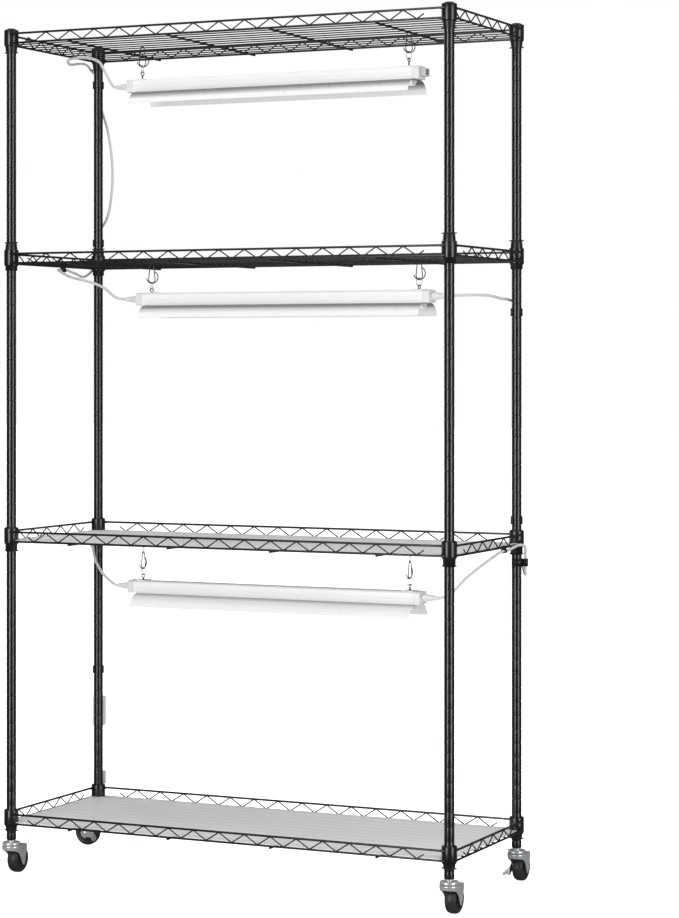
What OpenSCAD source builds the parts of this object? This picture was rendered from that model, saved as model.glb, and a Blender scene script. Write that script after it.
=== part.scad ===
// Four-tier wire shelving rack on casters, with three hanging grow lights.
// Millimetres, +Z up. The origin is on the floor under the middle of the rack,
// +X runs along the long side to the right and +Y runs to the rear.

/* [Rack] */
// Distance between post centres along the long side
post_span_x = 876; // [860:1:900]
// Distance between post centres across the short side
post_span_y = 324; // [316:1:340]
// Length of one post half
post_half = 750; // [740:1:760]
// Outside diameter of the posts
post_d = 18; // [17.8:0.1:18.2]
// Height of the bottom shelf's collar tops above the floor
level_bottom = 120; // [116:1:130]
// Height of the third shelf's collar tops above the floor
level_third = 642; // [620:1:660]
// Height of the second shelf's collar tops above the floor
level_second = 1157; // [1140:1:1180]

/* [Shelf wire] */
// Diameter of the truss rails and cross supports
rail_d = 4; // [3.8:0.1:4.2]
// Diameter of the zigzag wires
zig_d = 2.4; // [2.2:0.1:2.6]
// Diameter of the deck wires
deck_d = 2.5; // [2.4:0.1:2.7]
// Number of deck wires, odd so that one runs down the middle
deck_count = 11; // [9:2:13]

/* [Casters] */
// Height of the post ends above the floor
caster_h = 64; // [64:1:68]
// Diameter of the wheels
wheel_d = 50; // [48:1:50]
// How far each wheel trails behind its stem
wheel_trail = 23; // [22:1:24]

/* [Lights] */
// Length of a light with its end caps
light_len = 594; // [580:1:600]
// Distance between the two hooks of a light
hook_span = 544; // [530:1:548]
// Diameter of the cords
cord_d = 5; // [4.4:0.1:5.4]

/* [Hidden] */
EPS = 0.01;
ROUND = 48;
ZIG_SIDES = 8;

// corners: front left, front right, rear left, rear right
CORNERS = [[-1, -1], [1, -1], [-1, 1], [1, 1]];
post_x = post_span_x / 2;
post_y = post_span_y / 2;
seam = caster_h + post_half;
post_top = caster_h + 2 * post_half;
LEVELS = [post_top, level_second, level_third, level_bottom];

// posts
tube_wall = 1.2;
groove_pitch = 25.4;
groove_depth = 0.5;
groove_half = 0.8;
insert_h = 22;
insert_d = post_d - 2 * tube_wall - 0.1;
stud_d = 8;
stem_d = 10;

// shelves
collar_d = 27;
collar_bore = 22.4;
collar_h = 30;
rail_offset = 10;
rail_stop = 4;
rail_x = post_x + rail_offset;
rail_y = post_y + rail_offset;
upper_drop = 7.4;
lower_drop = 24.8;
zig_pitch = 51;
zig_gap = 1.6;
long_pitches = 15;
short_pitches = 5;
long_first = (post_span_x - long_pitches * zig_pitch) / 2;
short_near = 50;
short_far = post_span_y - short_pitches * zig_pitch - short_near;
support_drop = deck_d / 2 + rail_d / 2 - 0.4;
support_x = 205;
liner_t = 1.2;
liner_lift = deck_d / 2 + 0.05;

// split sleeves: how far each stands above and below its collar, and which end is narrow
SLEEVE_RISE = [0, 15, 1, 0];
SLEEVE_DROP = [13, 8.5, 13.5, 10];
SLEEVE_TAPER_UP = [false, true, false, false];
SLEEVE_TAPER = [true, true, false, true];
sleeve_d = collar_bore - 0.1;
sleeve_bore = post_d + 0.1;
sleeve_taper = 11;
sleeve_split = 0.8;

// casters
head_top = caster_h - 4;
fork_top = caster_h - 10.5;
fork_t = 2.2;
fork_r = 17.5;
fork_gap = 22.4;
fork_leg = 2;
axle_d = 6;
axle_z = wheel_d / 2;
hub_d = 33;
hub_w = 21;
tyre_w = 20;
// the way each wheel trails at rest, turned from straight back
TRAIL_TURN = [0, 0, 90, 0];

// lights: middle of each along the shelf, and its housing top below the hook wire
LIGHT_X = [22, 42, 24];
LIGHT_DROP = [61, 54, 78];
LIGHT_LEVEL = [post_top, level_second, level_third];
housing_w = 32;
housing_h = 23;
housing_wall = 1.2;
cap_len = 12;
reflector_w = 88;
reflector_t = 0.8;
reflector_drop = 23;
reflector_short = 28;
reflector_shift = 5;
wing_reach = (reflector_w - housing_w) / 2;
reflector_r = (pow(wing_reach, 2) + pow(reflector_drop, 2)) / (2 * reflector_drop);
wing_turn = asin(wing_reach / reflector_r);
lens_r = 13;
board_w = 18;
plug_len = 30;
plug_z = -11;
hook_wire = 1.8;
hook_top_r = 3.6;
hook_top_z = -1.25;
hook_low_r = 6.5;
ring_r = 7;
ring_wire = 1.5;
eye_r = 3.4;
eye_wire = 1.8;

// clips that hold the cords, from the top down, and how far a cord runs from a post's centre
cradle_r = post_d / 2 + 5.4;
wide_cradle_r = cradle_r + 2;
clip_h = 14;
rear_turn = 115;
clip_1_z = post_top - 72;
clip_2_z = level_second + 25;
clip_3_z = level_second - 115;
clip_4_z = level_third + 19;
clip_5_z = level_third - 58;
clip_6_z = level_third - 296;
rail_clip_drop = 6.4;
left_clip_y = 43;
right_clip_y = 71.7;

// inline switch and wall plug
switch_turn = 25;
switch_at = [-post_x - 9, post_y + 20, 262];
switch_size = [25, 57, 16];
switch_wall = 1.8;
rocker_size = [12.2, 18.7];
rocker_pivot = 4.2;
rocker_tilt = 8;
plug_at = switch_at + [-2, 5, -110];

// ---------- helpers ----------

// straight wire between two points
module rod(a, b, d, sides = ROUND) {
  v = b - a;
  length = norm(v);
  translate(a)
    rotate([0, acos(v[2] / length), atan2(v[1], v[0])])
      cylinder(d = d, h = length, $fn = sides);
}

// points of an arc in the XZ plane, round a centre at [x, 0, z]
function arc(r, x, z, from, to, steps) = [
  for (k = [0 : steps])
    let (a = from + (to - from) * k / steps)
      [x + r * cos(a), 0, z + r * sin(a)]
];

// box centred on X and Y, standing on Z
module slab(size) {
  translate([-size[0] / 2, -size[1] / 2, 0])
    cube(size);
}

// smooth curve through the waypoints; a short run keeps its own direction beside a long one
function passing(a, b, c) =
  let (before = norm(b - a), after = norm(c - b))
    before == 0 ? (c - b) / after
    : after == 0 ? (b - a) / before
    : unit((b - a) * after / before + (c - b) * before / after);
function curve_point(p0, p1, p2, p3, t) =
  let (length = norm(p2 - p1))
    p1 * (2 * t * t * t - 3 * t * t + 1)
    + passing(p0, p1, p2) * length * (t * t * t - 2 * t * t + t)
    + p2 * (3 * t * t - 2 * t * t * t)
    + passing(p1, p2, p3) * length * (t * t * t - t * t);
function smooth(pts, steps) = [
  for (i = [0 : len(pts) - 2], s = [0 : steps - 1])
    curve_point(pts[max(i - 1, 0)], pts[i], pts[i + 1], pts[min(i + 2, len(pts) - 1)], s / steps),
  pts[len(pts) - 1]
];
function unit(v) = v / norm(v);
function heading(path, i) = unit(path[min(i + 1, len(path) - 1)] - path[max(i - 1, 0)]);

// round wire or cord that follows a path; lean is a direction the path never takes
module tube(path, d, lean, sides = 8) {
  last = len(path) - 1;
  rings = [
    for (i = [0 : last])
      let (t = heading(path, i), u = unit(cross(t, lean)), v = cross(t, u))
        for (k = [0 : sides - 1])
          path[i] + d / 2 * (cos(360 * k / sides) * u + sin(360 * k / sides) * v)
  ];
  walls = [
    for (i = [0 : last - 1], k = [0 : sides - 1])
      let (a = i * sides + k, b = i * sides + (k + 1) % sides)
        [a, a + sides, b + sides, b]
  ];
  start_cap = [for (k = [0 : sides - 1]) k];
  end_cap = [for (k = [sides - 1 : -1 : 0]) last * sides + k];
  polyhedron(points = rings, faces = concat(walls, [start_cap, end_cap]));
}

// flexible cord through waypoints
module cord(pts, steps = 5) {
  tube(smooth(pts, steps), cord_d, [1, -1.3, 0.9]);
}

// ---------- posts ----------

function groove_points(height) = [
  for (z = [groove_pitch / 2 : groove_pitch : height - groove_pitch / 3])
    each [
      [post_d / 2, z - groove_half],
      [post_d / 2 - groove_depth, z - groove_half / 3],
      [post_d / 2 - groove_depth, z + groove_half / 3],
      [post_d / 2, z + groove_half]
    ]
];

function nearest_groove(z) =
  let (base = z < seam ? caster_h : seam)
    base + groove_pitch / 2 + round((z - base - groove_pitch / 2) / groove_pitch) * groove_pitch;

module half_tube() {
  bore = post_d / 2 - tube_wall;
  rotate_extrude($fn = ROUND)
    polygon(concat(
      [[bore, 0], [post_d / 2 - 0.4, 0], [post_d / 2, 0.4]],
      groove_points(post_half),
      [[post_d / 2, post_half - 0.4], [post_d / 2 - 0.4, post_half], [bore, post_half]]
    ));
}

module post(corner) {
  color("#1c1d1f")
    translate([corner[0] * post_x, corner[1] * post_y, caster_h]) {
      half_tube();
      translate([0, 0, post_half + 0.05])
        half_tube();
    }
}

module insert(bore) {
  difference() {
    cylinder(d = insert_d, h = insert_h, $fn = ROUND);
    translate([0, 0, -1])
      cylinder(d = bore, h = insert_h + 2, $fn = ROUND);
  }
}

module post_inserts() {
  color("#9a9c9e")
    for (c = CORNERS)
      translate([c[0] * post_x, c[1] * post_y, 0]) {
        translate([0, 0, caster_h + 0.5])
          insert(stem_d + 0.1);
        translate([0, 0, seam - insert_h - 0.5])
          insert(stud_d + 0.1);
        translate([0, 0, seam + 0.5])
          insert(stud_d + 0.1);
      }
}

module post_studs() {
  color("#b9bbbd")
    for (c = CORNERS)
      translate([c[0] * post_x, c[1] * post_y, seam - insert_h - 4])
        cylinder(d = stud_d, h = 2 * insert_h + 8, $fn = ROUND);
}

module post_caps() {
  plug_r = post_d / 2 - tube_wall - 0.05;
  color("#151617")
    for (c = CORNERS)
      translate([c[0] * post_x, c[1] * post_y, post_top + 0.1])
        rotate_extrude($fn = ROUND)
          polygon([
            [0, 3.2], [post_d / 2 - 3, 3], [post_d / 2 - 0.6, 2], [post_d / 2, 1.2], [post_d / 2, 0],
            [plug_r, 0], [plug_r, -9], [plug_r - 1.6, -9], [plug_r - 1.6, -1], [0, -1]
          ]);
}

// ---------- shelves ----------

// corner collar, hanging from its top edge; its bore is cut with the shelf
module collar() {
  r = collar_d / 2;
  rotate_extrude($fn = ROUND)
    polygon([
      [0, -collar_h], [r - 1.1, -collar_h], [r, -collar_h + 3], [r, -0.8], [r - 0.6, 0], [0, 0]
    ]);
}

// two rails along X with a zigzag wire welded between them
module truss(half, first, pitches) {
  reach = half - rail_stop;
  rise = lower_drop - upper_drop;
  for (z = [-upper_drop, -lower_drop])
    rod([-reach, 0, z], [reach, 0, z], rail_d);
  for (i = [0 : pitches - 1]) {
    valley = -half + first + i * zig_pitch;
    peak = valley + zig_pitch / 2;
    rod([valley + zig_gap, 0, -lower_drop], [peak - zig_gap, 0, -upper_drop], zig_d, ZIG_SIDES);
    rod([peak + zig_gap, 0, -upper_drop], [valley + zig_pitch - zig_gap, 0, -lower_drop], zig_d, ZIG_SIDES);
  }
  middle = rise / 2 - lower_drop;
  stub = zig_pitch / 4;
  first_valley = -half + first;
  last_valley = first_valley + pitches * zig_pitch;
  rod([first_valley - zig_gap, 0, -lower_drop], [first_valley - stub, 0, middle], zig_d, ZIG_SIDES);
  rod([last_valley + zig_gap, 0, -lower_drop], [last_valley + stub, 0, middle], zig_d, ZIG_SIDES);
}

module deck() {
  pitch = 2 * rail_y / (deck_count + 1);
  reach = rail_x - 1.3;
  for (i = [1 : deck_count])
    rod([-reach, i * pitch - rail_y, -lower_drop], [reach, i * pitch - rail_y, -lower_drop], deck_d);
  for (k = [-1.5 : 1 : 1.5]) {
    z = -lower_drop - support_drop;
    rod([k * support_x, -rail_y - 3, z], [k * support_x, rail_y + 3, z], rail_d);
  }
}

// right_first is how far the right end's first valley stands from the front post
module shelf(level, right_first = short_near) {
  color("#1c1d1f")
    difference() {
      translate([0, 0, level]) {
        for (c = CORNERS)
          translate([c[0] * post_x, c[1] * post_y, 0])
            collar();
        for (s = [-1, 1])
          translate([0, s * rail_y, 0])
            truss(post_x, long_first, long_pitches);
        translate([rail_x, 0, 0])
          rotate([0, 0, 90])
            truss(post_y, right_first, short_pitches);
        translate([-rail_x, 0, 0])
          rotate([0, 0, 90])
            truss(post_y, short_near + short_far - right_first, short_pitches);
        deck();
      }
      for (c = CORNERS)
        translate([c[0] * post_x, c[1] * post_y, level - collar_h - 1])
          cylinder(d = collar_bore, h = collar_h + 2, $fn = ROUND);
    }
}

// tapered liner between a post and a shelf collar, split into two halves
module sleeve(i) {
  level = LEVELS[i];
  low = level - collar_h - SLEEVE_DROP[i];
  high = level + SLEEVE_RISE[i];
  r = sleeve_d / 2;
  narrow = SLEEVE_TAPER[i] ? sleeve_bore / 2 + 0.8 : r;
  bore = sleeve_bore / 2;
  groove = nearest_groove(level - collar_h / 2);
  low_r = SLEEVE_TAPER_UP[i] ? r : narrow;
  high_r = SLEEVE_TAPER_UP[i] ? narrow : r;
  ear_z = SLEEVE_TAPER_UP[i] ? high - 2.5 : low + 0.5;
  difference() {
    union() {
      rotate_extrude($fn = ROUND)
        polygon([
          [bore, low], [low_r, low], [low_r, low + 0.5], [r, low + sleeve_taper],
          [r, high - sleeve_taper], [high_r, high], [bore, high],
          [bore, groove + 0.5], [bore - 0.3, groove + 0.2], [bore - 0.3, groove - 0.2], [bore, groove - 0.5]
        ]);
      for (s = [-1, 1])
        translate([s * (bore + 2.3), 0, ear_z])
          slab([4.2, 4, 2]);
    }
    translate([-50, -sleeve_split / 2, low - 1])
      cube([100, sleeve_split, high - low + 2]);
  }
}

module split_sleeves() {
  color("#141516")
    for (c = CORNERS, i = [0 : 3])
      translate([c[0] * post_x, c[1] * post_y, 0])
        sleeve(i);
}

module liner(level, slots) {
  margin = rail_d / 2 + 1.6;
  size = [2 * (rail_x - margin), 2 * (rail_y - margin), liner_t];
  color("#d3d5d6", 0.85)
    translate([0, 0, level - lower_drop + liner_lift])
      difference() {
        slab(size);
        for (c = CORNERS)
          translate([c[0] * post_x, c[1] * post_y, -1])
            cylinder(r = collar_d / 2 + 1, h = liner_t + 2, $fn = ROUND);
        for (x = slots)
          translate([x, 0, -1])
            slab([14, 16, liner_t + 2]);
      }
}

// ---------- casters ----------

module at_corner(corner, turn) {
  translate([corner[0] * post_x, corner[1] * post_y, 0])
    rotate([0, 0, turn])
      children();
}

module caster_stems() {
  pin_r = 4;
  color("#c9cbcd")
    for (c = CORNERS)
      at_corner(c, 0)
        rotate_extrude($fn = ROUND)
          polygon([
            [0, caster_h + 20], [stem_d / 2 - 1, caster_h + 20], [stem_d / 2, caster_h + 19],
            [stem_d / 2, caster_h], [7.5, caster_h - 0.1], [7.5, caster_h - 2.6], [6, caster_h - 3],
            [6, head_top], [12, head_top - 0.6], [15.6, head_top - 2.2], [16.4, head_top - 3.6],
            [16.4, fork_top + 0.4], [8, fork_top + 0.4], [pin_r, fork_top + 0.4],
            [pin_r, fork_top - fork_t - 0.4], [7, fork_top - fork_t - 0.4],
            [7, fork_top - fork_t - 3], [0, fork_top - fork_t - 3]
          ]);
}

// one side of the fork: seen from the side, y back and z up
module fork_cheek() {
  rotate([90, 0, 90])
    linear_extrude(height = fork_leg)
      union() {
        polygon([
          [-11, fork_top - 0.3], [-13, fork_top - fork_t - 6], [-4, fork_top - fork_t - 10],
          [wheel_trail - 12, axle_z + 6], [wheel_trail - 7, axle_z], [wheel_trail + 7, axle_z],
          [wheel_trail + 12, axle_z + 14], [wheel_trail + 12, fork_top - 0.3]
        ]);
        translate([wheel_trail, axle_z])
          circle(r = 8, $fn = ROUND);
        translate([wheel_trail - 2.5, axle_z - 5])
          circle(r = 5.4, $fn = ROUND);
      }
}

module fork() {
  color("#c4c6c8")
    difference() {
      union() {
        translate([0, 0, fork_top - fork_t])
          cylinder(r = fork_r, h = fork_t, $fn = ROUND);
        translate([-fork_gap / 2 - 1, 0, fork_top - fork_t])
          cube([fork_gap + 2, wheel_trail + 12, fork_t]);
        for (s = [-1, 1])
          translate([s * (fork_gap / 2 + fork_leg / 2) - fork_leg / 2, 0, 0])
            fork_cheek();
      }
      translate([0, 0, fork_top - fork_t - 1])
        cylinder(r = 4.06, h = fork_t + 2, $fn = ROUND);
      translate([-fork_gap, wheel_trail, axle_z])
        rotate([0, 90, 0])
          cylinder(d = axle_d + 0.1, h = 2 * fork_gap, $fn = ROUND);
    }
}

// bolt and nut through the fork; a braked caster's bolt also carries the pedal
module axle(braked) {
  inner = fork_gap / 2 + fork_leg;
  left = inner + (braked ? 2.4 : 0.1);
  color("#b5b7b9")
    translate([0, wheel_trail, axle_z])
      rotate([0, 90, 0]) {
        translate([0, 0, -left - 3])
          cylinder(d = 10, h = 3, $fn = 6);
        translate([0, 0, -left - EPS])
          cylinder(d = axle_d, h = left + inner + 3.5, $fn = ROUND);
        translate([0, 0, inner + 0.1])
          cylinder(d = 10, h = 3, $fn = ROUND);
      }
}

module hub() {
  color("#202123")
    translate([0, wheel_trail, axle_z])
      rotate([0, 90, 0])
        difference() {
          union() {
            cylinder(d = hub_d, h = tyre_w - 4, center = true, $fn = ROUND);
            cylinder(d = 14, h = hub_w, center = true, $fn = ROUND);
          }
          cylinder(d = axle_d + 0.12, h = 2 * hub_w, center = true, $fn = ROUND);
        }
}

module tyre() {
  r = wheel_d / 2;
  w = tyre_w / 2;
  color("#1a1b1c")
    translate([0, wheel_trail, axle_z])
      rotate([0, 90, 0])
        rotate_extrude($fn = ROUND)
          polygon([
            [hub_d / 2 + 0.02, -w + 1], [hub_d / 2 + 2, -w], [r - 3.5, -w], [r - 1, -w + 2.4], [r, -w + 6],
            [r, w - 6], [r - 1, w - 2.4], [r - 3.5, w], [hub_d / 2 + 2, w], [hub_d / 2 + 0.02, w - 1]
          ]);
}

// side brake lever that turns on the axle, with a foot tab standing outward
module brake_pedal() {
  t = 1.6;
  x = -fork_gap / 2 - fork_leg - 0.3 - t;
  color("#c0c2c4")
    difference() {
      union() {
        translate([x, 0, 0])
          rotate([90, 0, 90])
            linear_extrude(height = t)
              union() {
                translate([wheel_trail, axle_z])
                  circle(r = 8, $fn = ROUND);
                polygon([
                  [wheel_trail - 2, axle_z + 7.5], [wheel_trail - 21, axle_z + 2],
                  [wheel_trail - 27, axle_z - 10], [wheel_trail - 22, axle_z - 13.5],
                  [wheel_trail - 2, axle_z - 7.5]
                ]);
              }
        translate([x - 11, 0, 0])
          rotate([90, 0, 90])
            linear_extrude(height = 12)
              polygon([
                [wheel_trail - 21, axle_z + 2], [wheel_trail - 27, axle_z - 10],
                [wheel_trail - 22, axle_z - 13.5], [wheel_trail - 20.6, axle_z - 12.4],
                [wheel_trail - 25.2, axle_z - 9.5], [wheel_trail - 19.6, axle_z + 1.4]
              ]);
      }
      translate([x - 1, wheel_trail, axle_z])
        rotate([0, 90, 0])
          cylinder(d = axle_d + 0.12, h = t + 2, $fn = ROUND);
    }
}

// ---------- lights ----------

module at_light(i) {
  translate([LIGHT_X[i], 0, LIGHT_LEVEL[i] - lower_drop - LIGHT_DROP[i]])
    children();
}

// prism along X from a profile drawn with y across and z up
module along_x(length) {
  translate([-length / 2, 0, 0])
    rotate([90, 0, 90])
      linear_extrude(height = length)
        children();
}

module housing_outline(w, h) {
  polygon([
    [-w / 2, -h], [w / 2, -h], [w / 2, -4], [w / 2 - 1.6, -1.2], [w / 2 - 5, 0],
    [-w / 2 + 5, 0], [-w / 2 + 1.6, -1.2], [-w / 2, -4]
  ]);
}

module light_housing(i) {
  color("#eeefef")
    at_light(i)
      difference() {
        along_x(light_len - 2 * cap_len - 0.1)
          difference() {
            housing_outline(housing_w, housing_h);
            translate([0, -housing_wall])
              housing_outline(housing_w - 2 * housing_wall, housing_h);
          }
        for (s = [-1, 1])
          translate([s * hook_span / 2, 0, -housing_wall - 1])
            cylinder(d = 4, h = housing_wall + 2, $fn = ROUND);
      }
}

// points along one face of a curved wing, from the web out and down to its edge
function wing_face(r, steps) = [
  for (k = [0 : steps])
    let (a = wing_turn * k / steps)
      [housing_w / 2 + r * sin(a), -housing_h - 0.1 - reflector_r + r * cos(a)]
];
function reversed(pts) = [for (i = [len(pts) - 1 : -1 : 0]) pts[i]];
function mirrored(pts) = [for (p = pts) [-p[0], p[1]]];

// web under the housing with a curved wing on each side
module reflector_outline() {
  upper = wing_face(reflector_r, 16);
  lower = wing_face(reflector_r - reflector_t, 16);
  polygon(concat(upper, reversed(lower), mirrored(lower), reversed(mirrored(upper))));
}

module light_reflector(i) {
  color("#f2f2f2")
    at_light(i)
      difference() {
        translate([reflector_shift, 0, 0])
          along_x(light_len - reflector_short)
            reflector_outline();
        translate([reflector_shift, 0, -housing_h - reflector_t - 1])
          slab([light_len - reflector_short - 12, 2 * lens_r + 0.4, reflector_t + 2]);
      }
}

module light_lens(i) {
  length = light_len - reflector_short - 13;
  color("#f6f6f2")
    at_light(i)
      translate([reflector_shift, 0, 0])
        along_x(length)
          translate([0, -housing_h + 2])
            intersection() {
              difference() {
                circle(r = lens_r, $fn = 96);
                circle(r = lens_r - 1.2, $fn = 96);
              }
              translate([-20, -20])
                square([40, 20]);
            }
}

module light_board(i) {
  length = light_len - 2 * cap_len - 14;
  chips = 36;
  color("#e8e8e4")
    at_light(i)
      translate([0, 0, -housing_h + 4]) {
        slab([length, board_w, 1.6]);
        for (k = [0 : chips - 1])
          translate([(k + 0.5) * length / chips - length / 2, 0, -0.8])
            slab([3.5, 2.8, 1]);
      }
}

// plug body that tapers from its flat front to the cord
module cord_plug() {
  rotate([0, 90, 0])
    rotate_extrude($fn = ROUND)
      polygon([
        [0, 0], [7.5, 0], [7.5, 8], [6.4, 9],
        [4.2, plug_len - 5], [4.2, plug_len - 1], [3.4, plug_len], [0, plug_len]
      ]);
}

module light_end(s, plugged) {
  inner = light_len / 2 - cap_len;
  translate([s * (inner + cap_len / 2), 0, 0])
    along_x(cap_len)
      translate([0, 0.6])
        housing_outline(housing_w + 1.2, housing_h + 0.6);
  if (plugged)
    translate([s * light_len / 2, 0, plug_z])
      rotate([0, 0, s > 0 ? 0 : 180])
        cord_plug();
  else
    translate([light_len / 2, 0, plug_z - 7])
      difference() {
        translate([-EPS, -9, 0])
          cube([11, 18, 14]);
        translate([4, -7, 2])
          cube([10, 14, 10]);
      }
}

module light_caps(i) {
  color("#e9eaea")
    at_light(i) {
      light_end(-1, true);
      light_end(1, i > 0);
    }
}

// pear-shaped wire loop hanging from the origin, in the XZ plane
module pear_loop(low_r, low_z) {
  lean = asin((low_r - hook_top_r) / (hook_top_z - low_z));
  tube(concat(
    arc(low_r, 0, low_z, -88, lean, 6),
    arc(hook_top_r, 0, hook_top_z, lean, 180 - lean, 10),
    arc(low_r, 0, low_z, 180 - lean, 268, 6)
  ), hook_wire, [0, 1, 0]);
}

// snap hook: a pear loop with an open sprung arc behind it
module snap_hook(low_z) {
  pear_loop(hook_low_r, low_z);
  translate([0, hook_wire + 0.15, 0])
    tube(arc(11.5, 1.5, low_z + 4.1, 195, 420, 16), hook_wire, [0, 1, 0]);
}

module ring(r, d, turn) {
  rotate([90, 0, turn])
    rotate_extrude($fn = ROUND)
      translate([r, 0])
        circle(d = d, $fn = ROUND);
}

// saddle clip with two slots, and a screw eye standing in it
module saddle(turn, eye_z) {
  difference() {
    slab([26, housing_w - 12, 1.5]);
    for (s = [-1, 1])
      translate([s * 8, 0, -1])
        slab([7, 3, 4]);
  }
  translate([0, 0, -4])
    cylinder(d = 3.4, h = eye_z - eye_r + 4, $fn = ROUND);
  translate([0, 0, eye_z])
    ring(eye_r, eye_wire, turn);
}

// everything between the deck wire and the housing, at one end of a light
module hanger(drop, hook_turn, ring_turn, eye_turn, linked) {
  hook_z = linked ? -27 : 0;
  low_z = hook_z - (linked ? 22 : 28);
  low_rim = low_z - hook_low_r;
  ring_z = low_rim + (hook_wire + ring_wire) / 2 + 0.15 - ring_r;
  eye_z = ring_z - ring_r + (ring_wire + eye_wire) / 2 + 0.15 - eye_r;
  if (linked)
    rotate([0, 0, 45])
      pear_loop(hook_top_r + 0.4, hook_z + 4.2);
  rotate([0, 0, -hook_turn])
    translate([0, 0, hook_z])
      snap_hook(low_z - hook_z);
  translate([0, 0, ring_z])
    ring(ring_r, ring_wire, -ring_turn);
  translate([0, 0, -drop + 0.05])
    saddle(-eye_turn, eye_z + drop - 0.05);
}

module light_hangers(i) {
  linked = i == 2;
  color("#3a3b3d")
    translate([LIGHT_X[i], 0, LIGHT_LEVEL[i] - lower_drop]) {
      translate([-hook_span / 2, 0, 0])
        rotate([0, 0, 90])
          hanger(LIGHT_DROP[i], linked ? 5 : 40, linked ? -60 : -45, 30, linked);
      translate([hook_span / 2, 0, 0])
        rotate([0, 0, 90])
          hanger(LIGHT_DROP[i], linked ? 5 : 40, linked ? 70 : 110, 10, linked);
    }
}

// ---------- cords ----------

// where a cord leaves a light's plug, a little clear of it so the light can swing
function plug_exit(i, s) = [
  LIGHT_X[i] + s * (light_len / 2 + plug_len + 2),
  0,
  LIGHT_LEVEL[i] - lower_drop - LIGHT_DROP[i] + plug_z
];

// a point beside a post, at a distance and a compass direction from its centre
function beside(corner, r, turn, z) = [
  corner[0] * post_x + r * cos(turn),
  corner[1] * post_y + r * sin(turn),
  z
];

// the straight run of a cord through a clip on a post, and through one under a rail
function held(corner, r, turn, z) = [for (dz = [18, 9, -9, -18]) beside(corner, r, turn, z + dz)];
function hung(x, y, z) = [for (dy = [15, 8, -8, -15]) [x, y + dy, z - rail_clip_drop]];

module cord_upper() {
  start = plug_exit(0, -1);
  end = plug_exit(1, -1);
  rl = CORNERS[2];
  deck_z = post_top - lower_drop;
  low_z = level_second - lower_drop;
  color("#f0f0ef")
    cord([
      start,
      start + [-20, 2, 22],
      [start[0] - 42, 12, deck_z - 22],
      [-rail_x + 60, 28, deck_z - 9],
      [-rail_x + 14, 44, deck_z - 9],
      [-rail_x - 6, 80, deck_z - 13],
      beside(rl, 19, 205, clip_1_z + 36),
      beside(rl, 18, 178, clip_1_z + 31),
      beside(rl, 16.5, 150, clip_1_z + 25),
      each held(rl, cradle_r, rear_turn, clip_1_z),
      beside(rl, 22, 60, clip_1_z - 90),
      beside(rl, 27, 32, clip_1_z - 200),
      beside(rl, 20, 70, clip_2_z + 45),
      each held(rl, cradle_r, rear_turn, clip_2_z),
      beside(rl, 17.2, 120, level_second - 1),
      beside(rl, 19.5, 135, level_second - 16),
      [-rail_x - 7, post_y - 14, low_z - 14],
      [-rail_x - 2, left_clip_y + 50, low_z - 11],
      each hung(-rail_x, left_clip_y, low_z),
      [-rail_x + 22, left_clip_y - 26, low_z - 16],
      [end[0] - 48, 4, end[2] + 22],
      [end[0] - 18, 0, end[2] + 3],
      end
    ], 4);
}

module cord_middle() {
  start = plug_exit(1, 1);
  end = plug_exit(2, 1);
  rr = CORNERS[3];
  low_z = level_third - lower_drop;
  color("#f0f0ef")
    cord([
      start,
      start + [18, 10, 1],
      start + [46, 60, 2],
      [post_x - 16, post_y - 32, start[2] - 3],
      beside(rr, 15, 160, clip_3_z + 20),
      each held(rr, cradle_r, rear_turn, clip_3_z - 2),
      beside(rr, cradle_r, rear_turn, (clip_3_z + clip_4_z) / 2),
      beside(rr, cradle_r, rear_turn, clip_4_z + 18),
      beside(rr, cradle_r, rear_turn, clip_4_z + 9),
      beside(rr, cradle_r, rear_turn, clip_4_z - 8),
      beside(rr, 17, 111, level_third),
      beside(rr, 18, 108, level_third - 15),
      beside(rr, 18, 90, clip_5_z + 14),
      beside(rr, 18, 72, clip_5_z - 8),
      beside(rr, 17.5, 44, clip_5_z - 23),
      beside(rr, wide_cradle_r, 16, clip_5_z - 16),
      beside(rr, wide_cradle_r, 16, clip_5_z - 9),
      beside(rr, wide_cradle_r, 16, clip_5_z + 9),
      beside(rr, wide_cradle_r, 16, clip_5_z + 14),
      [rail_x + 7, post_y - 4, low_z - 6],
      [rail_x + 7, post_y - 30, low_z + 1],
      [rail_x + 5, right_clip_y + 30, low_z - 2],
      each hung(rail_x, right_clip_y, low_z),
      [rail_x - 12, right_clip_y - 24, low_z - 16],
      [end[0] + 44, 26, end[2] + 38],
      [end[0] + 12, 3, end[2] + 4],
      end
    ], 4);
}

module power_cord() {
  start = plug_exit(2, -1);
  rl = CORNERS[2];
  low_z = level_third - lower_drop;
  half = switch_size[1] / 2;
  color("#f0f0ef") {
    cord([
      start,
      start + [-20, 4, 9],
      start + [-60, 30, 36],
      [-post_x + 22, post_y - 62, low_z - 16],
      [-rail_x - 3, post_y - 6, low_z - 24],
      beside(rl, 19, 135, low_z - 50),
      beside(rl, 15, 118, low_z - 120),
      beside(rl, 14.2, 116, low_z - 200),
      each held(rl, cradle_r, rear_turn, clip_6_z),
      [switch_at[0], switch_at[1], switch_at[2] + half + 24],
      [switch_at[0], switch_at[1], switch_at[2] + half + 10],
      [switch_at[0], switch_at[1], switch_at[2] + half - 5]
    ]);
    cord([
      [switch_at[0], switch_at[1], switch_at[2] - half + 5],
      [switch_at[0], switch_at[1], switch_at[2] - half - 4],
      [switch_at[0], switch_at[1], switch_at[2] - half - 16],
      plug_at + [1, -1, 26],
      plug_at + [0, 0, 10],
      plug_at + [0, 0, -3]
    ]);
  }
}

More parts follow.
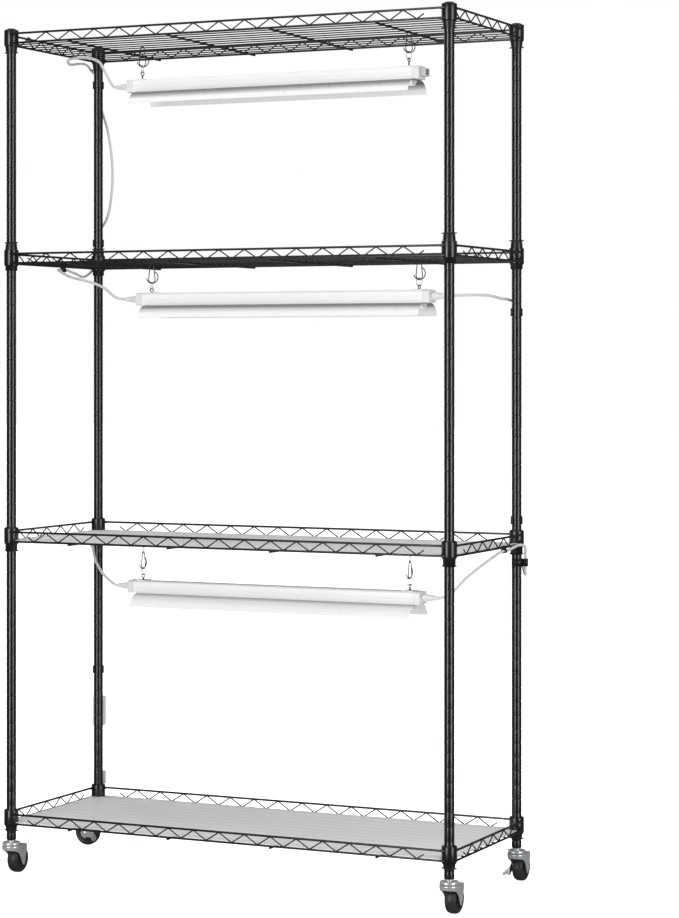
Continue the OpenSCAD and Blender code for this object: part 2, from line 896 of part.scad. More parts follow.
// clip that snaps round a post and holds a cord beside it
module post_clip(corner, z, turn, reach) {
  inner = post_d / 2 + 0.1;
  translate([corner[0] * post_x, corner[1] * post_y, z - clip_h / 2])
    rotate([0, 0, turn])
      difference() {
        union() {
          cylinder(r = inner + 2, h = clip_h, $fn = ROUND);
          translate([reach, 0, 0])
            cylinder(d = cord_d + 4.4, h = clip_h, $fn = ROUND);
          translate([inner + 1, -2.2, 0])
            cube([reach - inner - 2.4, 4.4, clip_h]);
        }
        translate([0, 0, -1])
          cylinder(r = inner, h = clip_h + 2, $fn = ROUND);
        translate([0, 0, -1])
          linear_extrude(height = clip_h + 2)
            polygon([[0, 0], [-30, 25], [-30, -25]]);
        translate([reach, 0, -1])
          cylinder(d = cord_d + 1.4, h = clip_h + 2, $fn = ROUND);
      }
}

// clip that snaps round a side rail and holds a cord under it
module rail_clip(x, y, z) {
  length = 12;
  translate([x, y - length / 2, z])
    rotate([-90, 0, 0])
      difference() {
        union() {
          cylinder(d = rail_d + 2.6, h = length, $fn = ROUND);
          translate([0, rail_clip_drop, 0])
            cylinder(d = cord_d + 3.8, h = length, $fn = ROUND);
          translate([-1.5, 0, 0])
            cube([3, rail_clip_drop, length]);
        }
        translate([0, 0, -1])
          cylinder(d = rail_d + 0.1, h = length + 2, $fn = ROUND);
        translate([0, rail_clip_drop, -1])
          cylinder(d = cord_d + 1.4, h = length + 2, $fn = ROUND);
      }
}

module cable_clips() {
  rl = CORNERS[2];
  rr = CORNERS[3];
  color("#1d1e20") {
    post_clip(rl, clip_1_z, rear_turn, cradle_r);
    post_clip(rl, clip_2_z, rear_turn, cradle_r);
    post_clip(rr, clip_3_z - 2, rear_turn, cradle_r);
    post_clip(rr, clip_4_z, rear_turn, cradle_r);
    post_clip(rr, clip_5_z, 16, wide_cradle_r);
    post_clip(rl, clip_6_z, rear_turn, cradle_r);
    rail_clip(-rail_x, left_clip_y, level_second - lower_drop);
    rail_clip(rail_x, right_clip_y, level_third - lower_drop);
  }
}

// ---------- inline switch ----------

// rectangle with rounded corners, centred
module round_rect(w, h, r, steps = 5) {
  polygon([
    for (c = [[1, 1, 0], [-1, 1, 90], [-1, -1, 180], [1, -1, 270]], k = [0 : steps])
      let (a = c[2] + 90 * k / steps)
        [c[0] * (w / 2 - r) + r * cos(a), c[1] * (h / 2 - r) + r * sin(a)]
  ]);
}

module at_switch() {
  translate(switch_at)
    rotate([0, 0, switch_turn])
      children();
}

// half of the switch case, from one y to another; the case is long in Z
module case_half(y0, y1, r) {
  translate([0, y1, 0])
    rotate([90, 0, 0])
      linear_extrude(height = y1 - y0)
        round_rect(switch_size[0], switch_size[1], r);
}

module case_cavity(y0, y1) {
  translate([0, y1, 0])
    rotate([90, 0, 0])
      linear_extrude(height = y1 - y0)
        round_rect(switch_size[0] - 2 * switch_wall, switch_size[1] - 2 * switch_wall - 8, 2);
}

module cord_way() {
  translate([0, 0, -switch_size[1]])
    cylinder(d = cord_d + 0.6, h = 2 * switch_size[1], $fn = ROUND);
}

module switch_base() {
  t = switch_size[2] / 2;
  color("#e6e7e7")
    at_switch()
      difference() {
        union() {
          difference() {
            case_half(-t, -0.05, 3.4);
            case_cavity(-t + switch_wall, 1);
          }
          for (s = [-1, 1])
            translate([s * 7.6 - 0.8, -t + 1, -3])
              cube([1.6, t + rocker_pivot + 1, 6]);
        }
        translate([-20, rocker_pivot, 0])
          rotate([0, 90, 0])
            cylinder(d = 2.1, h = 40, $fn = ROUND);
        translate([-20, rocker_pivot, -1.05])
          cube([40, 4, 2.1]);
        cord_way();
      }
}

module switch_cover() {
  t = switch_size[2] / 2;
  color("#eeefef")
    at_switch()
      difference() {
        case_half(0.05, t, 3.4);
        case_cavity(-1, t - switch_wall);
        translate([0, t + 1, 0])
          rotate([90, 0, 0])
            linear_extrude(height = switch_wall + 2)
              round_rect(rocker_size[0] + 0.5, rocker_size[1] + 0.5, 3.4);
        cord_way();
      }
}

module switch_rocker() {
  r = rocker_size[1] / 2;
  w = rocker_size[0];
  lift = r * tan(rocker_tilt);
  color("#f4f4f4")
    at_switch()
      translate([0, rocker_pivot, 0])
        rotate([rocker_tilt, 0, 0]) {
          intersection() {
            rotate([0, 90, 0])
              cylinder(r = r, h = w, center = true, $fn = ROUND);
            translate([-w / 2, 0, 0])
              rotate([90, 0, 90])
                linear_extrude(height = w)
                  polygon([[-1.8, -r], [4.4 + lift, -r], [4.4, 0], [4.4 + lift, r], [-1.8, r]]);
            translate([0, 10, 0])
              rotate([90, 0, 0])
                linear_extrude(height = 20)
                  round_rect(w, 2 * r, 5);
          }
          translate([-8.8, 0, 0])
            rotate([0, 90, 0])
              cylinder(d = 2, h = 17.6, $fn = ROUND);
        }
}

module switch_contacts() {
  t = switch_size[2] / 2;
  color("#c9a55a")
    at_switch()
      for (s = [-1, 1])
        translate([s * 4, -t + switch_wall + 0.05, s * 8 - 6]) {
          translate([-1.5, 0, 0])
            cube([3, 0.8, 12]);
          translate([0, 1.4, 6])
            rotate([90, 0, 0])
              cylinder(d = 2.6, h = 1.4, $fn = ROUND);
        }
}

module wall_plug() {
  body_h = 34;
  color("#e9eaea")
    translate(plug_at)
      rotate([0, 0, switch_turn])
        difference() {
          union() {
            translate([0, 0, -body_h])
              linear_extrude(height = body_h - 10)
                round_rect(24, 16, 4);
            translate([0, 0, -10 - EPS])
              cylinder(d = 11, h = 10, $fn = ROUND);
            for (s = [-1, 1])
              translate([s * 6.35, 0, -body_h - 16])
                slab([1.5, 6.3, 17]);
          }
          translate([0, 0, -4])
            cylinder(d = cord_d + 0.6, h = 10, $fn = ROUND);
        }
}

// ---------- the object ----------

post(CORNERS[0]);  // post_front_left
post(CORNERS[1]);  // post_front_right
post(CORNERS[2]);  // post_rear_left
post(CORNERS[3]);  // post_rear_right
post_inserts();
post_studs();
post_caps();
shelf(post_top, short_far);  // shelf_top
shelf(level_second);  // shelf_second
shelf(level_third);  // shelf_third
shelf(level_bottom);  // shelf_bottom
split_sleeves();
liner(level_third, [LIGHT_X[2] - hook_span / 2, LIGHT_X[2] + hook_span / 2]);  // liner_third
liner(level_bottom, []);  // liner_bottom
caster_stems();
at_corner(CORNERS[0], TRAIL_TURN[0]) fork();  // fork_front_left
at_corner(CORNERS[1], TRAIL_TURN[1]) fork();  // fork_front_right
at_corner(CORNERS[2], TRAIL_TURN[2]) fork();  // fork_rear_left
at_corner(CORNERS[3], TRAIL_TURN[3]) fork();  // fork_rear_right
at_corner(CORNERS[0], TRAIL_TURN[0]) axle(false);  // axle_front_left
at_corner(CORNERS[1], TRAIL_TURN[1]) axle(false);  // axle_front_right
at_corner(CORNERS[2], TRAIL_TURN[2]) axle(true);  // axle_rear_left
at_corner(CORNERS[3], TRAIL_TURN[3]) axle(true);  // axle_rear_right
at_corner(CORNERS[0], TRAIL_TURN[0]) hub();  // hub_front_left
at_corner(CORNERS[1], TRAIL_TURN[1]) hub();  // hub_front_right
at_corner(CORNERS[2], TRAIL_TURN[2]) hub();  // hub_rear_left
at_corner(CORNERS[3], TRAIL_TURN[3]) hub();  // hub_rear_right
at_corner(CORNERS[0], TRAIL_TURN[0]) tyre();  // tyre_front_left
at_corner(CORNERS[1], TRAIL_TURN[1]) tyre();  // tyre_front_right
at_corner(CORNERS[2], TRAIL_TURN[2]) tyre();  // tyre_rear_left
at_corner(CORNERS[3], TRAIL_TURN[3]) tyre();  // tyre_rear_right
at_corner(CORNERS[2], TRAIL_TURN[2]) brake_pedal();  // brake_pedal_left
at_corner(CORNERS[3], TRAIL_TURN[3]) brake_pedal();  // brake_pedal_right
light_housing(0);  // light_1_housing
light_reflector(0);  // light_1_reflector
light_lens(0);  // light_1_lens
light_board(0);  // light_1_board
light_caps(0);  // light_1_caps
light_hangers(0);  // light_1_hangers
light_housing(1);  // light_2_housing
light_reflector(1);  // light_2_reflector
light_lens(1);  // light_2_lens
light_board(1);  // light_2_board
light_caps(1);  // light_2_caps
light_hangers(1);  // light_2_hangers
light_housing(2);  // light_3_housing
light_reflector(2);  // light_3_reflector
light_lens(2);  // light_3_lens
light_board(2);  // light_3_board
light_caps(2);  // light_3_caps
light_hangers(2);  // light_3_hangers
cord_upper();
cord_middle();
power_cord();
cable_clips();
switch_base();
switch_cover();
switch_rocker();
switch_contacts();
wall_plug();
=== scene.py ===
"""Wire shelving rack on casters with three hanging grow lights: looks, light and camera."""

import math

import bmesh
import bpy
from mathutils import Matrix, Vector


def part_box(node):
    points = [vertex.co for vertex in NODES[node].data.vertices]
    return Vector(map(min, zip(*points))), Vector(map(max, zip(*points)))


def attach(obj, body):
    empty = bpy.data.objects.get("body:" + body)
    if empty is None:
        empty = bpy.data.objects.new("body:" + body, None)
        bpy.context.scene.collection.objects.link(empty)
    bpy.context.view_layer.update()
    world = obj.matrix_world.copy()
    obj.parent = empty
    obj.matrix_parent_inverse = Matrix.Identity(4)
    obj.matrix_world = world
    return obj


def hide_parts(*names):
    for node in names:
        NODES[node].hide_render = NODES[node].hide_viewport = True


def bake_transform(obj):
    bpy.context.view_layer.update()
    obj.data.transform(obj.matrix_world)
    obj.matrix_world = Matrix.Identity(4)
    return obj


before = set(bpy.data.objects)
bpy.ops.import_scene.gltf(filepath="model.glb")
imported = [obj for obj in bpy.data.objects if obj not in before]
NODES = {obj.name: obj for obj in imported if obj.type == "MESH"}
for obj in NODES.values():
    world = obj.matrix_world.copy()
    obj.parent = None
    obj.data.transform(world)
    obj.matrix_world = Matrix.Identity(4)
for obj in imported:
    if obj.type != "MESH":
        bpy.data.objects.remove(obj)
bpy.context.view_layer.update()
MM = 0.001
RAD = math.radians


# ---------- places, read from the CAD, in millimetres ----------


def low(node):
    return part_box(node)[0] / MM


def high(node):
    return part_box(node)[1] / MM


def middle(node):
    return (low(node) + high(node)) / 2


CORNERS = {
    "front_left": (-1, -1),
    "front_right": (1, -1),
    "rear_left": (-1, 1),
    "rear_right": (1, 1),
}
POST_X = middle("post_front_right").x
POST_Y = middle("post_rear_right").y
POST_R = (high("post_front_right").x - low("post_front_right").x) / 2
LEVELS = {name: high("shelf_" + name).z for name in ("top", "second", "third", "bottom")}
RAIL_R = 2.0
RAIL_X = high("shelf_top").x - RAIL_R
RAIL_Y = POST_Y + (RAIL_X - POST_X)
UPPER_DROP = 7.4
LOWER_DROP = 24.8
CORD_D = 5.0
HOOK_SPAN = 544.0
LIGHT_LEVEL = {1: LEVELS["top"], 2: LEVELS["second"], 3: LEVELS["third"]}
LIGHT_X = {i: round(middle(f"light_{i}_housing").x) for i in (1, 2, 3)}
LIGHT_LEN = 594.0
HOUSING_TOP = {i: high(f"light_{i}_housing").z for i in (1, 2, 3)}
WHEEL_TRAIL = 23.0
TRAIL_TURN = {"front_left": 0, "front_right": 0, "rear_left": 90, "rear_right": 0}


# ---------- mesh building ----------


def frames(pts, closed):
    """Side and up vectors that follow a path without twisting."""
    last = len(pts) - 1
    sides = []
    side = None
    for i in range(len(pts)):
        before = pts[i - 1] if i or closed else pts[0]
        after = pts[(i + 1) % len(pts)] if i < last or closed else pts[last]
        t = (after - before).normalized()
        side = t.orthogonal() if side is None else side - side.dot(t) * t
        side.normalize()
        sides.append((side.copy(), t.cross(side)))
    return sides


def fillet(path, radius, steps=4):
    """The path with each inner corner rounded."""
    pts = [Vector(p) for p in path]
    out = [pts[0]]
    for a, b, c in zip(pts, pts[1:], pts[2:]):
        into, away = (b - a).normalized(), (c - b).normalized()
        turn = into.angle(away)
        cut = min(radius * math.tan(turn / 2), (b - a).length * 0.45, (c - b).length * 0.45)
        p, q = b - into * cut, b + away * cut
        for k in range(steps + 1):
            t = k / steps
            out.append((1 - t) ** 2 * p + 2 * t * (1 - t) * b + t * t * q)
    out.append(pts[-1])
    return out


def passing(a, b, c):
    """Heading at b on the way from a to c; a short run keeps its own direction beside a long one."""
    before, after = (b - a).length, (c - b).length
    if not before or not after:
        return (c - a).normalized()
    return ((b - a) * (after / before) + (c - b) * (before / after)).normalized()


def smooth(path, steps):
    """Smooth curve through the waypoints."""
    pts = [Vector(p) for p in path]
    last = len(pts) - 1
    out = []
    for i in range(last):
        p0, p1, p2, p3 = pts[max(i - 1, 0)], pts[i], pts[i + 1], pts[min(i + 2, last)]
        length = (p2 - p1).length
        m1, m2 = passing(p0, p1, p2) * length, passing(p1, p2, p3) * length
        for k in range(steps):
            t = k / steps
            blend = 3 * t * t - 2 * t**3
            out.append(p1 * (1 - blend) + p2 * blend + m1 * (t**3 - 2 * t * t + t) + m2 * (t**3 - t * t))
    out.append(pts[last])
    return out


def soften(obj, width, angle=34):
    """Small bevel on every edge sharper than the angle."""
    mod = obj.modifiers.new("edge", "BEVEL")
    mod.width = width * MM
    mod.segments = 2
    mod.limit_method = "ANGLE"
    mod.angle_limit = RAD(angle)


class Shape:
    """Collects faces in millimetres and becomes one mesh object."""

    def __init__(self, place=None):
        self.verts = []
        self.faces = []
        self.slots = []
        self.place = place or Matrix()

    def add(self, verts, faces, slot=0):
        base = len(self.verts)
        self.verts += [self.place @ Vector(v) for v in verts]
        self.faces += [[base + i for i in f] for f in faces]
        self.slots += [slot] * len(faces)

    def wire(self, path, radius, sides=10, slot=0, closed=False, dome=False):
        """Round wire along a path; radius is a number or a function of 0 to 1 along it."""
        pts = [Vector(p) for p in path]
        sizes = [radius(i / (len(pts) - 1)) if callable(radius) else radius for i in range(len(pts))]
        axes = frames(pts, closed)
        rings = [(p, u, v, r) for p, (u, v), r in zip(pts, axes, sizes)]
        if dome and not closed:
            for end in (0, -1):
                p, u, v, r = rings[end]
                out = (pts[0] - pts[1] if end == 0 else pts[-1] - pts[-2]).normalized()
                cap = [(p + out * r * s * 0.6, u, v, r * c) for s, c in ((0.5, 0.87), (0.87, 0.5))]
                rings = cap[::-1] + rings if end == 0 else rings + cap
        verts, faces = [], []
        for p, u, v, r in rings:
            for k in range(sides):
                a = 2 * math.pi * k / sides
                verts.append(p + r * (math.cos(a) * u + math.sin(a) * v))
        count = len(rings)
        for i in range(count if closed else count - 1):
            for k in range(sides):
                j, n = (i + 1) % count, (k + 1) % sides
                faces.append((i * sides + k, i * sides + n, j * sides + n, j * sides + k))
        if not closed:
            faces.append(tuple(range(sides))[::-1])
            faces.append(tuple(range((count - 1) * sides, count * sides)))
        self.add(verts, faces, slot)

    def lathe(self, profile, place=None, steps=40, slot=0, closed=False):
        """Profile of (radius, height) turned about the local Z."""
        place = place or Matrix()
        verts, faces = [], []
        for r, z in profile:
            for k in range(steps):
                a = 2 * math.pi * k / steps
                verts.append(place @ Vector((r * math.cos(a), r * math.sin(a), z)))
        count = len(profile)
        for i in range(count if closed else count - 1):
            for k in range(steps):
                j, n = (i + 1) % count, (k + 1) % steps
                faces.append((i * steps + k, i * steps + n, j * steps + n, j * steps + k))
        self.add(verts, faces, slot)

    def prism(self, outline, depth, place=None, slot=0):
        """Outline of (x, y) raised along the local Z."""
        place = place or Matrix()
        n = len(outline)
        verts = [place @ Vector((x, y, z)) for z in (0, depth) for x, y in outline]
        faces = [tuple(range(n))[::-1], tuple(range(n, 2 * n))]
        faces += [(i, (i + 1) % n, n + (i + 1) % n, n + i) for i in range(n)]
        self.add(verts, faces, slot)

    def block(self, lo, hi, slot=0):
        """Box from one corner to the other."""
        outline = [(lo[0], lo[1]), (hi[0], lo[1]), (hi[0], hi[1]), (lo[0], hi[1])]
        self.prism(outline, hi[2] - lo[2], Matrix.Translation((0, 0, lo[2])), slot)

    def mesh(self, name, mats, sharp=38):
        mesh = bpy.data.meshes.new(name)
        mesh.from_pydata([v * MM for v in self.verts], [], self.faces)
        for m in mats:
            mesh.materials.append(m)
        mesh.polygons.foreach_set("material_index", self.slots)
        bm = bmesh.new()
        bm.from_mesh(mesh)
        bmesh.ops.remove_doubles(bm, verts=bm.verts, dist=1e-6)
        bmesh.ops.recalc_face_normals(bm, faces=bm.faces)
        bm.to_mesh(mesh)
        bm.free()
        mesh.shade_smooth()
        mesh.set_sharp_from_angle(angle=RAD(sharp))
        return mesh

    def make(self, name, mats, bevel=0.0, sharp=38):
        """The finished object, not yet riding on anything."""
        obj = bpy.data.objects.new(name, self.mesh(name, mats, sharp))
        bpy.context.scene.collection.objects.link(obj)
        if bevel:
            soften(obj, bevel)
        return obj


# turns local Z to X, X to Y and Y to Z, so that an outline in (y, z) is raised along X
ALONG_X = Matrix(((0, 0, 1, 0), (1, 0, 0, 0), (0, 1, 0, 0), (0, 0, 0, 1)))


def put(obj, body, *stands_for):
    """The piece rides on a body and stands for some CAD nodes."""
    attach(obj, body)
    if stands_for:
        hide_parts(*stands_for)


def shift(x, y, z):
    return Matrix.Translation((x, y, z))


def spin(degrees, axis="Z"):
    return Matrix.Rotation(RAD(degrees), 4, axis)


# ---------- materials ----------


class Look:
    """A node material with a principled shader and a few helpers."""

    def __init__(self, name):
        self.mat = bpy.data.materials.new(name)
        self.mat.use_nodes = True
        self.tree = self.mat.node_tree
        self.shader = self.tree.nodes["Principled BSDF"]
        self.out = self.tree.nodes["Material Output"]
        self.coords = self.tree.nodes.new("ShaderNodeTexCoord").outputs["Object"]

    def node(self, kind, **values):
        n = self.tree.nodes.new(kind)
        for key, value in values.items():
            if key in n.inputs:
                n.inputs[key].default_value = value
            else:
                setattr(n, key, value)
        return n

    def link(self, a, b):
        self.tree.links.new(a, b)

    def set(self, **values):
        for key, value in values.items():
            self.shader.inputs[key.replace("_", " ")].default_value = value
        return self

    def stretched(self, scale):
        m = self.node("ShaderNodeMapping")
        m.inputs["Scale"].default_value = scale
        self.link(self.coords, m.inputs["Vector"])
        return m.outputs["Vector"]

    def noise(self, scale, detail=3.0, roughness=0.55, stretch=None):
        n = self.node("ShaderNodeTexNoise", Scale=scale, Detail=detail, Roughness=roughness)
        self.link(self.stretched(stretch) if stretch else self.coords, n.inputs["Vector"])
        return n.outputs["Fac"]

    def spread(self, fac, low_value, high_value, to):
        """Sends fac to a shader input, its middle range spread between two values."""
        m = self.node("ShaderNodeMapRange")
        m.inputs["From Min"].default_value = 0.3
        m.inputs["From Max"].default_value = 0.7
        m.inputs["To Min"].default_value = low_value
        m.inputs["To Max"].default_value = high_value
        self.link(fac, m.inputs["Value"])
        self.link(m.outputs["Result"], self.shader.inputs[to])

    def ramp(self, fac, stops):
        """Colours at places from 0 to 1 along fac."""
        n = self.node("ShaderNodeValToRGB")
        elements = n.color_ramp.elements
        while len(elements) < len(stops):
            elements.new(0.5)
        for element, (at, colour) in zip(elements, stops):
            element.position = at
            element.color = (*colour, 1)
        self.link(fac, n.inputs["Fac"])
        return n.outputs["Color"]

    def colours(self, fac, stops):
        self.link(self.ramp(fac, stops), self.shader.inputs["Base Color"])

    def fade(self, top, bottom, tones):
        """Multiplies the colour by tones of painted shade that run down the piece's own Z."""
        xyz = self.node("ShaderNodeSeparateXYZ")
        self.link(self.coords, xyz.inputs[0])
        m = self.node("ShaderNodeMapRange")
        m.inputs["From Min"].default_value = top
        m.inputs["From Max"].default_value = bottom
        self.link(xyz.outputs["Z"], m.inputs["Value"])
        shade = self.ramp(m.outputs["Result"], [(at, grey(tone)) for at, tone in tones])
        colour = self.shader.inputs["Base Color"]
        mix = self.node("ShaderNodeMixRGB", Fac=1.0)
        mix.blend_type = "MULTIPLY"
        self.link(colour.links[0].from_socket, mix.inputs["Color1"])
        self.link(shade, mix.inputs["Color2"])
        self.link(mix.outputs["Color"], colour)

    def bump(self, fac, strength, distance):
        b = self.node("ShaderNodeBump", Strength=strength, Distance=distance)
        previous = self.shader.inputs["Normal"].links
        if previous:
            self.link(previous[0].from_socket, b.inputs["Normal"])
        self.link(fac, b.inputs["Height"])
        self.link(b.outputs["Normal"], self.shader.inputs["Normal"])


def grey(v, warm=0.0):
    return (v * (1 + warm), v, v * (1 - warm))


def powder_coat(name, value, rough):
    look = Look(name).set(Coat_Weight=0.35, Coat_Roughness=0.1)
    look.colours(look.noise(9, 4), [(0.3, grey(value * 0.8, -0.06)), (0.7, grey(value * 1.25, -0.03))])
    look.spread(look.noise(55, 5), rough - 0.05, rough + 0.06, "Roughness")
    look.bump(look.noise(1400, 2), 0.12, 0.0002)
    look.bump(look.noise(260, 2), 0.08, 0.0004)
    return look.mat


def moulded(name, colour, rough, grain=2600, spot=0.04, subsurface=0.0):
    look = Look(name)
    if subsurface:
        depth = (0.004, 0.004, 0.004)
        look.set(Subsurface_Weight=subsurface, Subsurface_Radius=depth, Subsurface_Scale=0.5)
    dark = tuple(c * (1 - spot) for c in colour)
    light = tuple(min(1.0, c * (1 + spot)) for c in colour)
    look.colours(look.noise(25, 4), [(0.32, dark), (0.68, light)])
    look.spread(look.noise(120, 4), rough - 0.05, rough + 0.05, "Roughness")
    look.bump(look.noise(grain, 2), 0.1, 0.00012)
    return look.mat


def plated(name, colour, rough, brushed=(30, 30, 400), metallic=0.7):
    look = Look(name).set(Metallic=metallic)
    cool = (colour[0] * 0.93, colour[1] * 0.96, colour[2])
    warm = (colour[0], colour[1] * 0.985, colour[2] * 0.93)
    look.colours(look.noise(70, 4), [(0.3, cool), (0.7, warm)])
    look.spread(look.noise(12, 5, stretch=brushed), rough - 0.08, rough + 0.1, "Roughness")
    look.bump(look.noise(14, 3, stretch=brushed), 0.1, 0.00015)
    return look.mat


def sheet_look(name, colour, rough, lines=(2, 260, 260)):
    look = Look(name).set(Coat_Weight=0.15, Coat_Roughness=0.2)
    dark = tuple(c * 0.975 for c in colour)
    look.colours(look.noise(3, 3, stretch=lines), [(0.35, dark), (0.65, colour)])
    look.spread(look.noise(90, 4), rough - 0.04, rough + 0.06, "Roughness")
    look.bump(look.noise(2.2, 2, stretch=lines), 0.04, 0.0002)
    look.bump(look.noise(1500, 2), 0.05, 0.0001)
    return look


# metres between the liners' faint lines of painted shadow from the deck wires seen through them, close to
# the spacing of the deck wires below
LINER_WIRE_SHADOW_PITCH = 0.0299
# metres from one band to the next in a wave texture of scale 1
WAVE_PERIOD = 0.314


def liner_sheet(name):
    """Slightly clear plastic sheet with faint lengthwise lines of painted shadow from the deck wires seen
    through it.
    """
    look = Look(name).set(IOR=1.46, Specular_IOR_Level=0.4)
    lines = look.node("ShaderNodeTexWave", Scale=WAVE_PERIOD / LINER_WIRE_SHADOW_PITCH, Distortion=0.0)
    lines.bands_direction = "Y"
    look.link(look.coords, lines.inputs["Vector"])
    # the dark bands are painted shadow of the deck wires showing through the sheet
    look.colours(lines.outputs["Fac"], [(0.0, grey(0.84)), (0.22, grey(0.93)), (1.0, grey(0.95))])
    look.spread(look.noise(160, 4), 0.32, 0.46, "Roughness")
    look.bump(look.noise(900, 3), 0.12, 0.0002)
    look.bump(look.noise(6, 2), 0.25, 0.002)
    clear = look.node("ShaderNodeBsdfTransparent", Color=(0.94, 0.95, 0.96, 1))
    mix = look.node("ShaderNodeMixShader", Fac=0.16)
    look.link(look.shader.outputs[0], mix.inputs[1])
    look.link(clear.outputs[0], mix.inputs[2])
    look.link(mix.outputs[0], look.out.inputs["Surface"])
    return look.mat


def rubber(name):
    look = Look(name).set(Coat_Weight=0.1, Coat_Roughness=0.3)
    look.colours(look.noise(40, 5), [(0.3, grey(0.012)), (0.7, grey(0.026, 0.03))])
    look.spread(look.noise(300, 5), 0.38, 0.6, "Roughness")
    look.bump(look.noise(1800, 3), 0.2, 0.0002)
    return look.mat


MAT = {
    "frame": powder_coat("black_powder_coat", 0.004, 0.24),
    "shelf": powder_coat("black_wire_coat", 0.004, 0.3),
    "plastic": moulded("black_moulded", grey(0.006), 0.36),
    "zinc": plated("zinc_plate", (0.74, 0.75, 0.77), 0.26),
    "hub": moulded("hub_nylon", grey(0.018), 0.36),
    "tyre": rubber("tread"),
    "liner": liner_sheet("liner_sheet"),
    "light": sheet_look("light_paint", grey(0.8), 0.34).mat,
    "lens": moulded("frosted_lens", grey(0.9, 0.01), 0.35, subsurface=0.3),
    "board": moulded("board_white", grey(0.82, 0.01), 0.5),
    "chip": moulded("diode_yellow", (0.86, 0.72, 0.25), 0.35),
    "cap": moulded("cap_white", grey(0.66), 0.28, subsurface=0.15),
    "socket": moulded("socket_grey", grey(0.42), 0.4),
    "hook": plated("dark_hook", (0.045, 0.046, 0.05), 0.3, (200, 200, 200)),
    "ring": plated("ring_steel", (0.66, 0.67, 0.69), 0.22, (200, 200, 200)),
    # dark for small parts, and painted shade as the pads in the saddle slots
    "slot": moulded("dark_parts_and_slot_shade", grey(0.05), 0.6),
    "cord": moulded("cord_white", grey(0.55), 0.42, 900),
    "switch": moulded("switch_white", grey(0.85), 0.3),
    "brass": plated("brass_contact", (0.78, 0.6, 0.3), 0.25, (200, 200, 200)),
}


def dress(node, mat, bevel=0.0, sharp=32):
    """Gives a CAD node its material and smooth shading."""
    obj = NODES[node]
    obj.data.materials.clear()
    obj.data.materials.append(MAT[mat])
    obj.data.polygons.foreach_set("material_index", [0] * len(obj.data.polygons))
    weld = obj.modifiers.new("weld", "WELD")
    weld.merge_threshold = 1e-6
    obj.data.shade_smooth()
    obj.data.set_sharp_from_angle(angle=RAD(sharp))
    if bevel:
        soften(obj, bevel)


for corner in CORNERS:
    dress("post_" + corner, "frame")
    # the long faces between the grooves keep one straight highlight
    even = NODES["post_" + corner].modifiers.new("even", "WEIGHTED_NORMAL")
    even.keep_sharp = True
    even.weight = 100
for node in ("post_caps", "split_sleeves", "cable_clips"):
    dress(node, "plastic")
for node in ("post_inserts", "post_studs"):
    dress(node, "zinc")
dress("switch_contacts", "brass")


# ---------- shelves ----------

ZIG_PITCH = 51.0
LONG_PITCHES = 15
SHORT_PITCHES = 5
LONG_FIRST = (2 * POST_X - LONG_PITCHES * ZIG_PITCH) / 2
SHORT_NEAR = 50.0
SHORT_FAR = 2 * POST_Y - SHORT_PITCHES * ZIG_PITCH - SHORT_NEAR
DECK_COUNT = 11
DECK_R = 1.25
ZIG_R = 1.2
SUPPORT_X = (-307.5, -102.5, 102.5, 307.5)
SUPPORT_DROP = 2.85


def truss(shape, half, first, pitches, place):
    """Two rails and the zigzag wire between them, along the local X."""
    reach = half - 4
    old = shape.place
    shape.place = old @ place
    for z in (-UPPER_DROP, -LOWER_DROP):
        shape.wire([(-reach, 0, z), (-reach / 3, 0, z), (reach / 3, 0, z), (reach, 0, z)], RAIL_R, 14)
    lift = 0.5
    top, bottom = -UPPER_DROP - lift, -LOWER_DROP + lift
    points = [(-half + first - ZIG_PITCH / 4, 0, (top + bottom) / 2)]
    for i in range(pitches):
        valley = -half + first + i * ZIG_PITCH
        points += [(valley, 0, bottom), (valley + ZIG_PITCH / 2, 0, top)]
    points.append((-half + first + pitches * ZIG_PITCH, 0, bottom))
    points.append((-half + first + (pitches + 0.25) * ZIG_PITCH, 0, (top + bottom) / 2))
    shape.wire(fillet(points, 4.5, 5), ZIG_R, 10, dome=True)
    shape.place = old


def collar(shape, place):
    """Corner collar with rolled edges."""
    profile = [
        (11.2, 0), (12.8, 0.05), (13.3, -0.4), (13.5, -1.2), (13.5, -26.8), (13.2, -28.2),
        (12.7, -29.6), (12.2, -30), (11.2, -30),
    ]
    shape.lathe(profile, place, 48, closed=True)


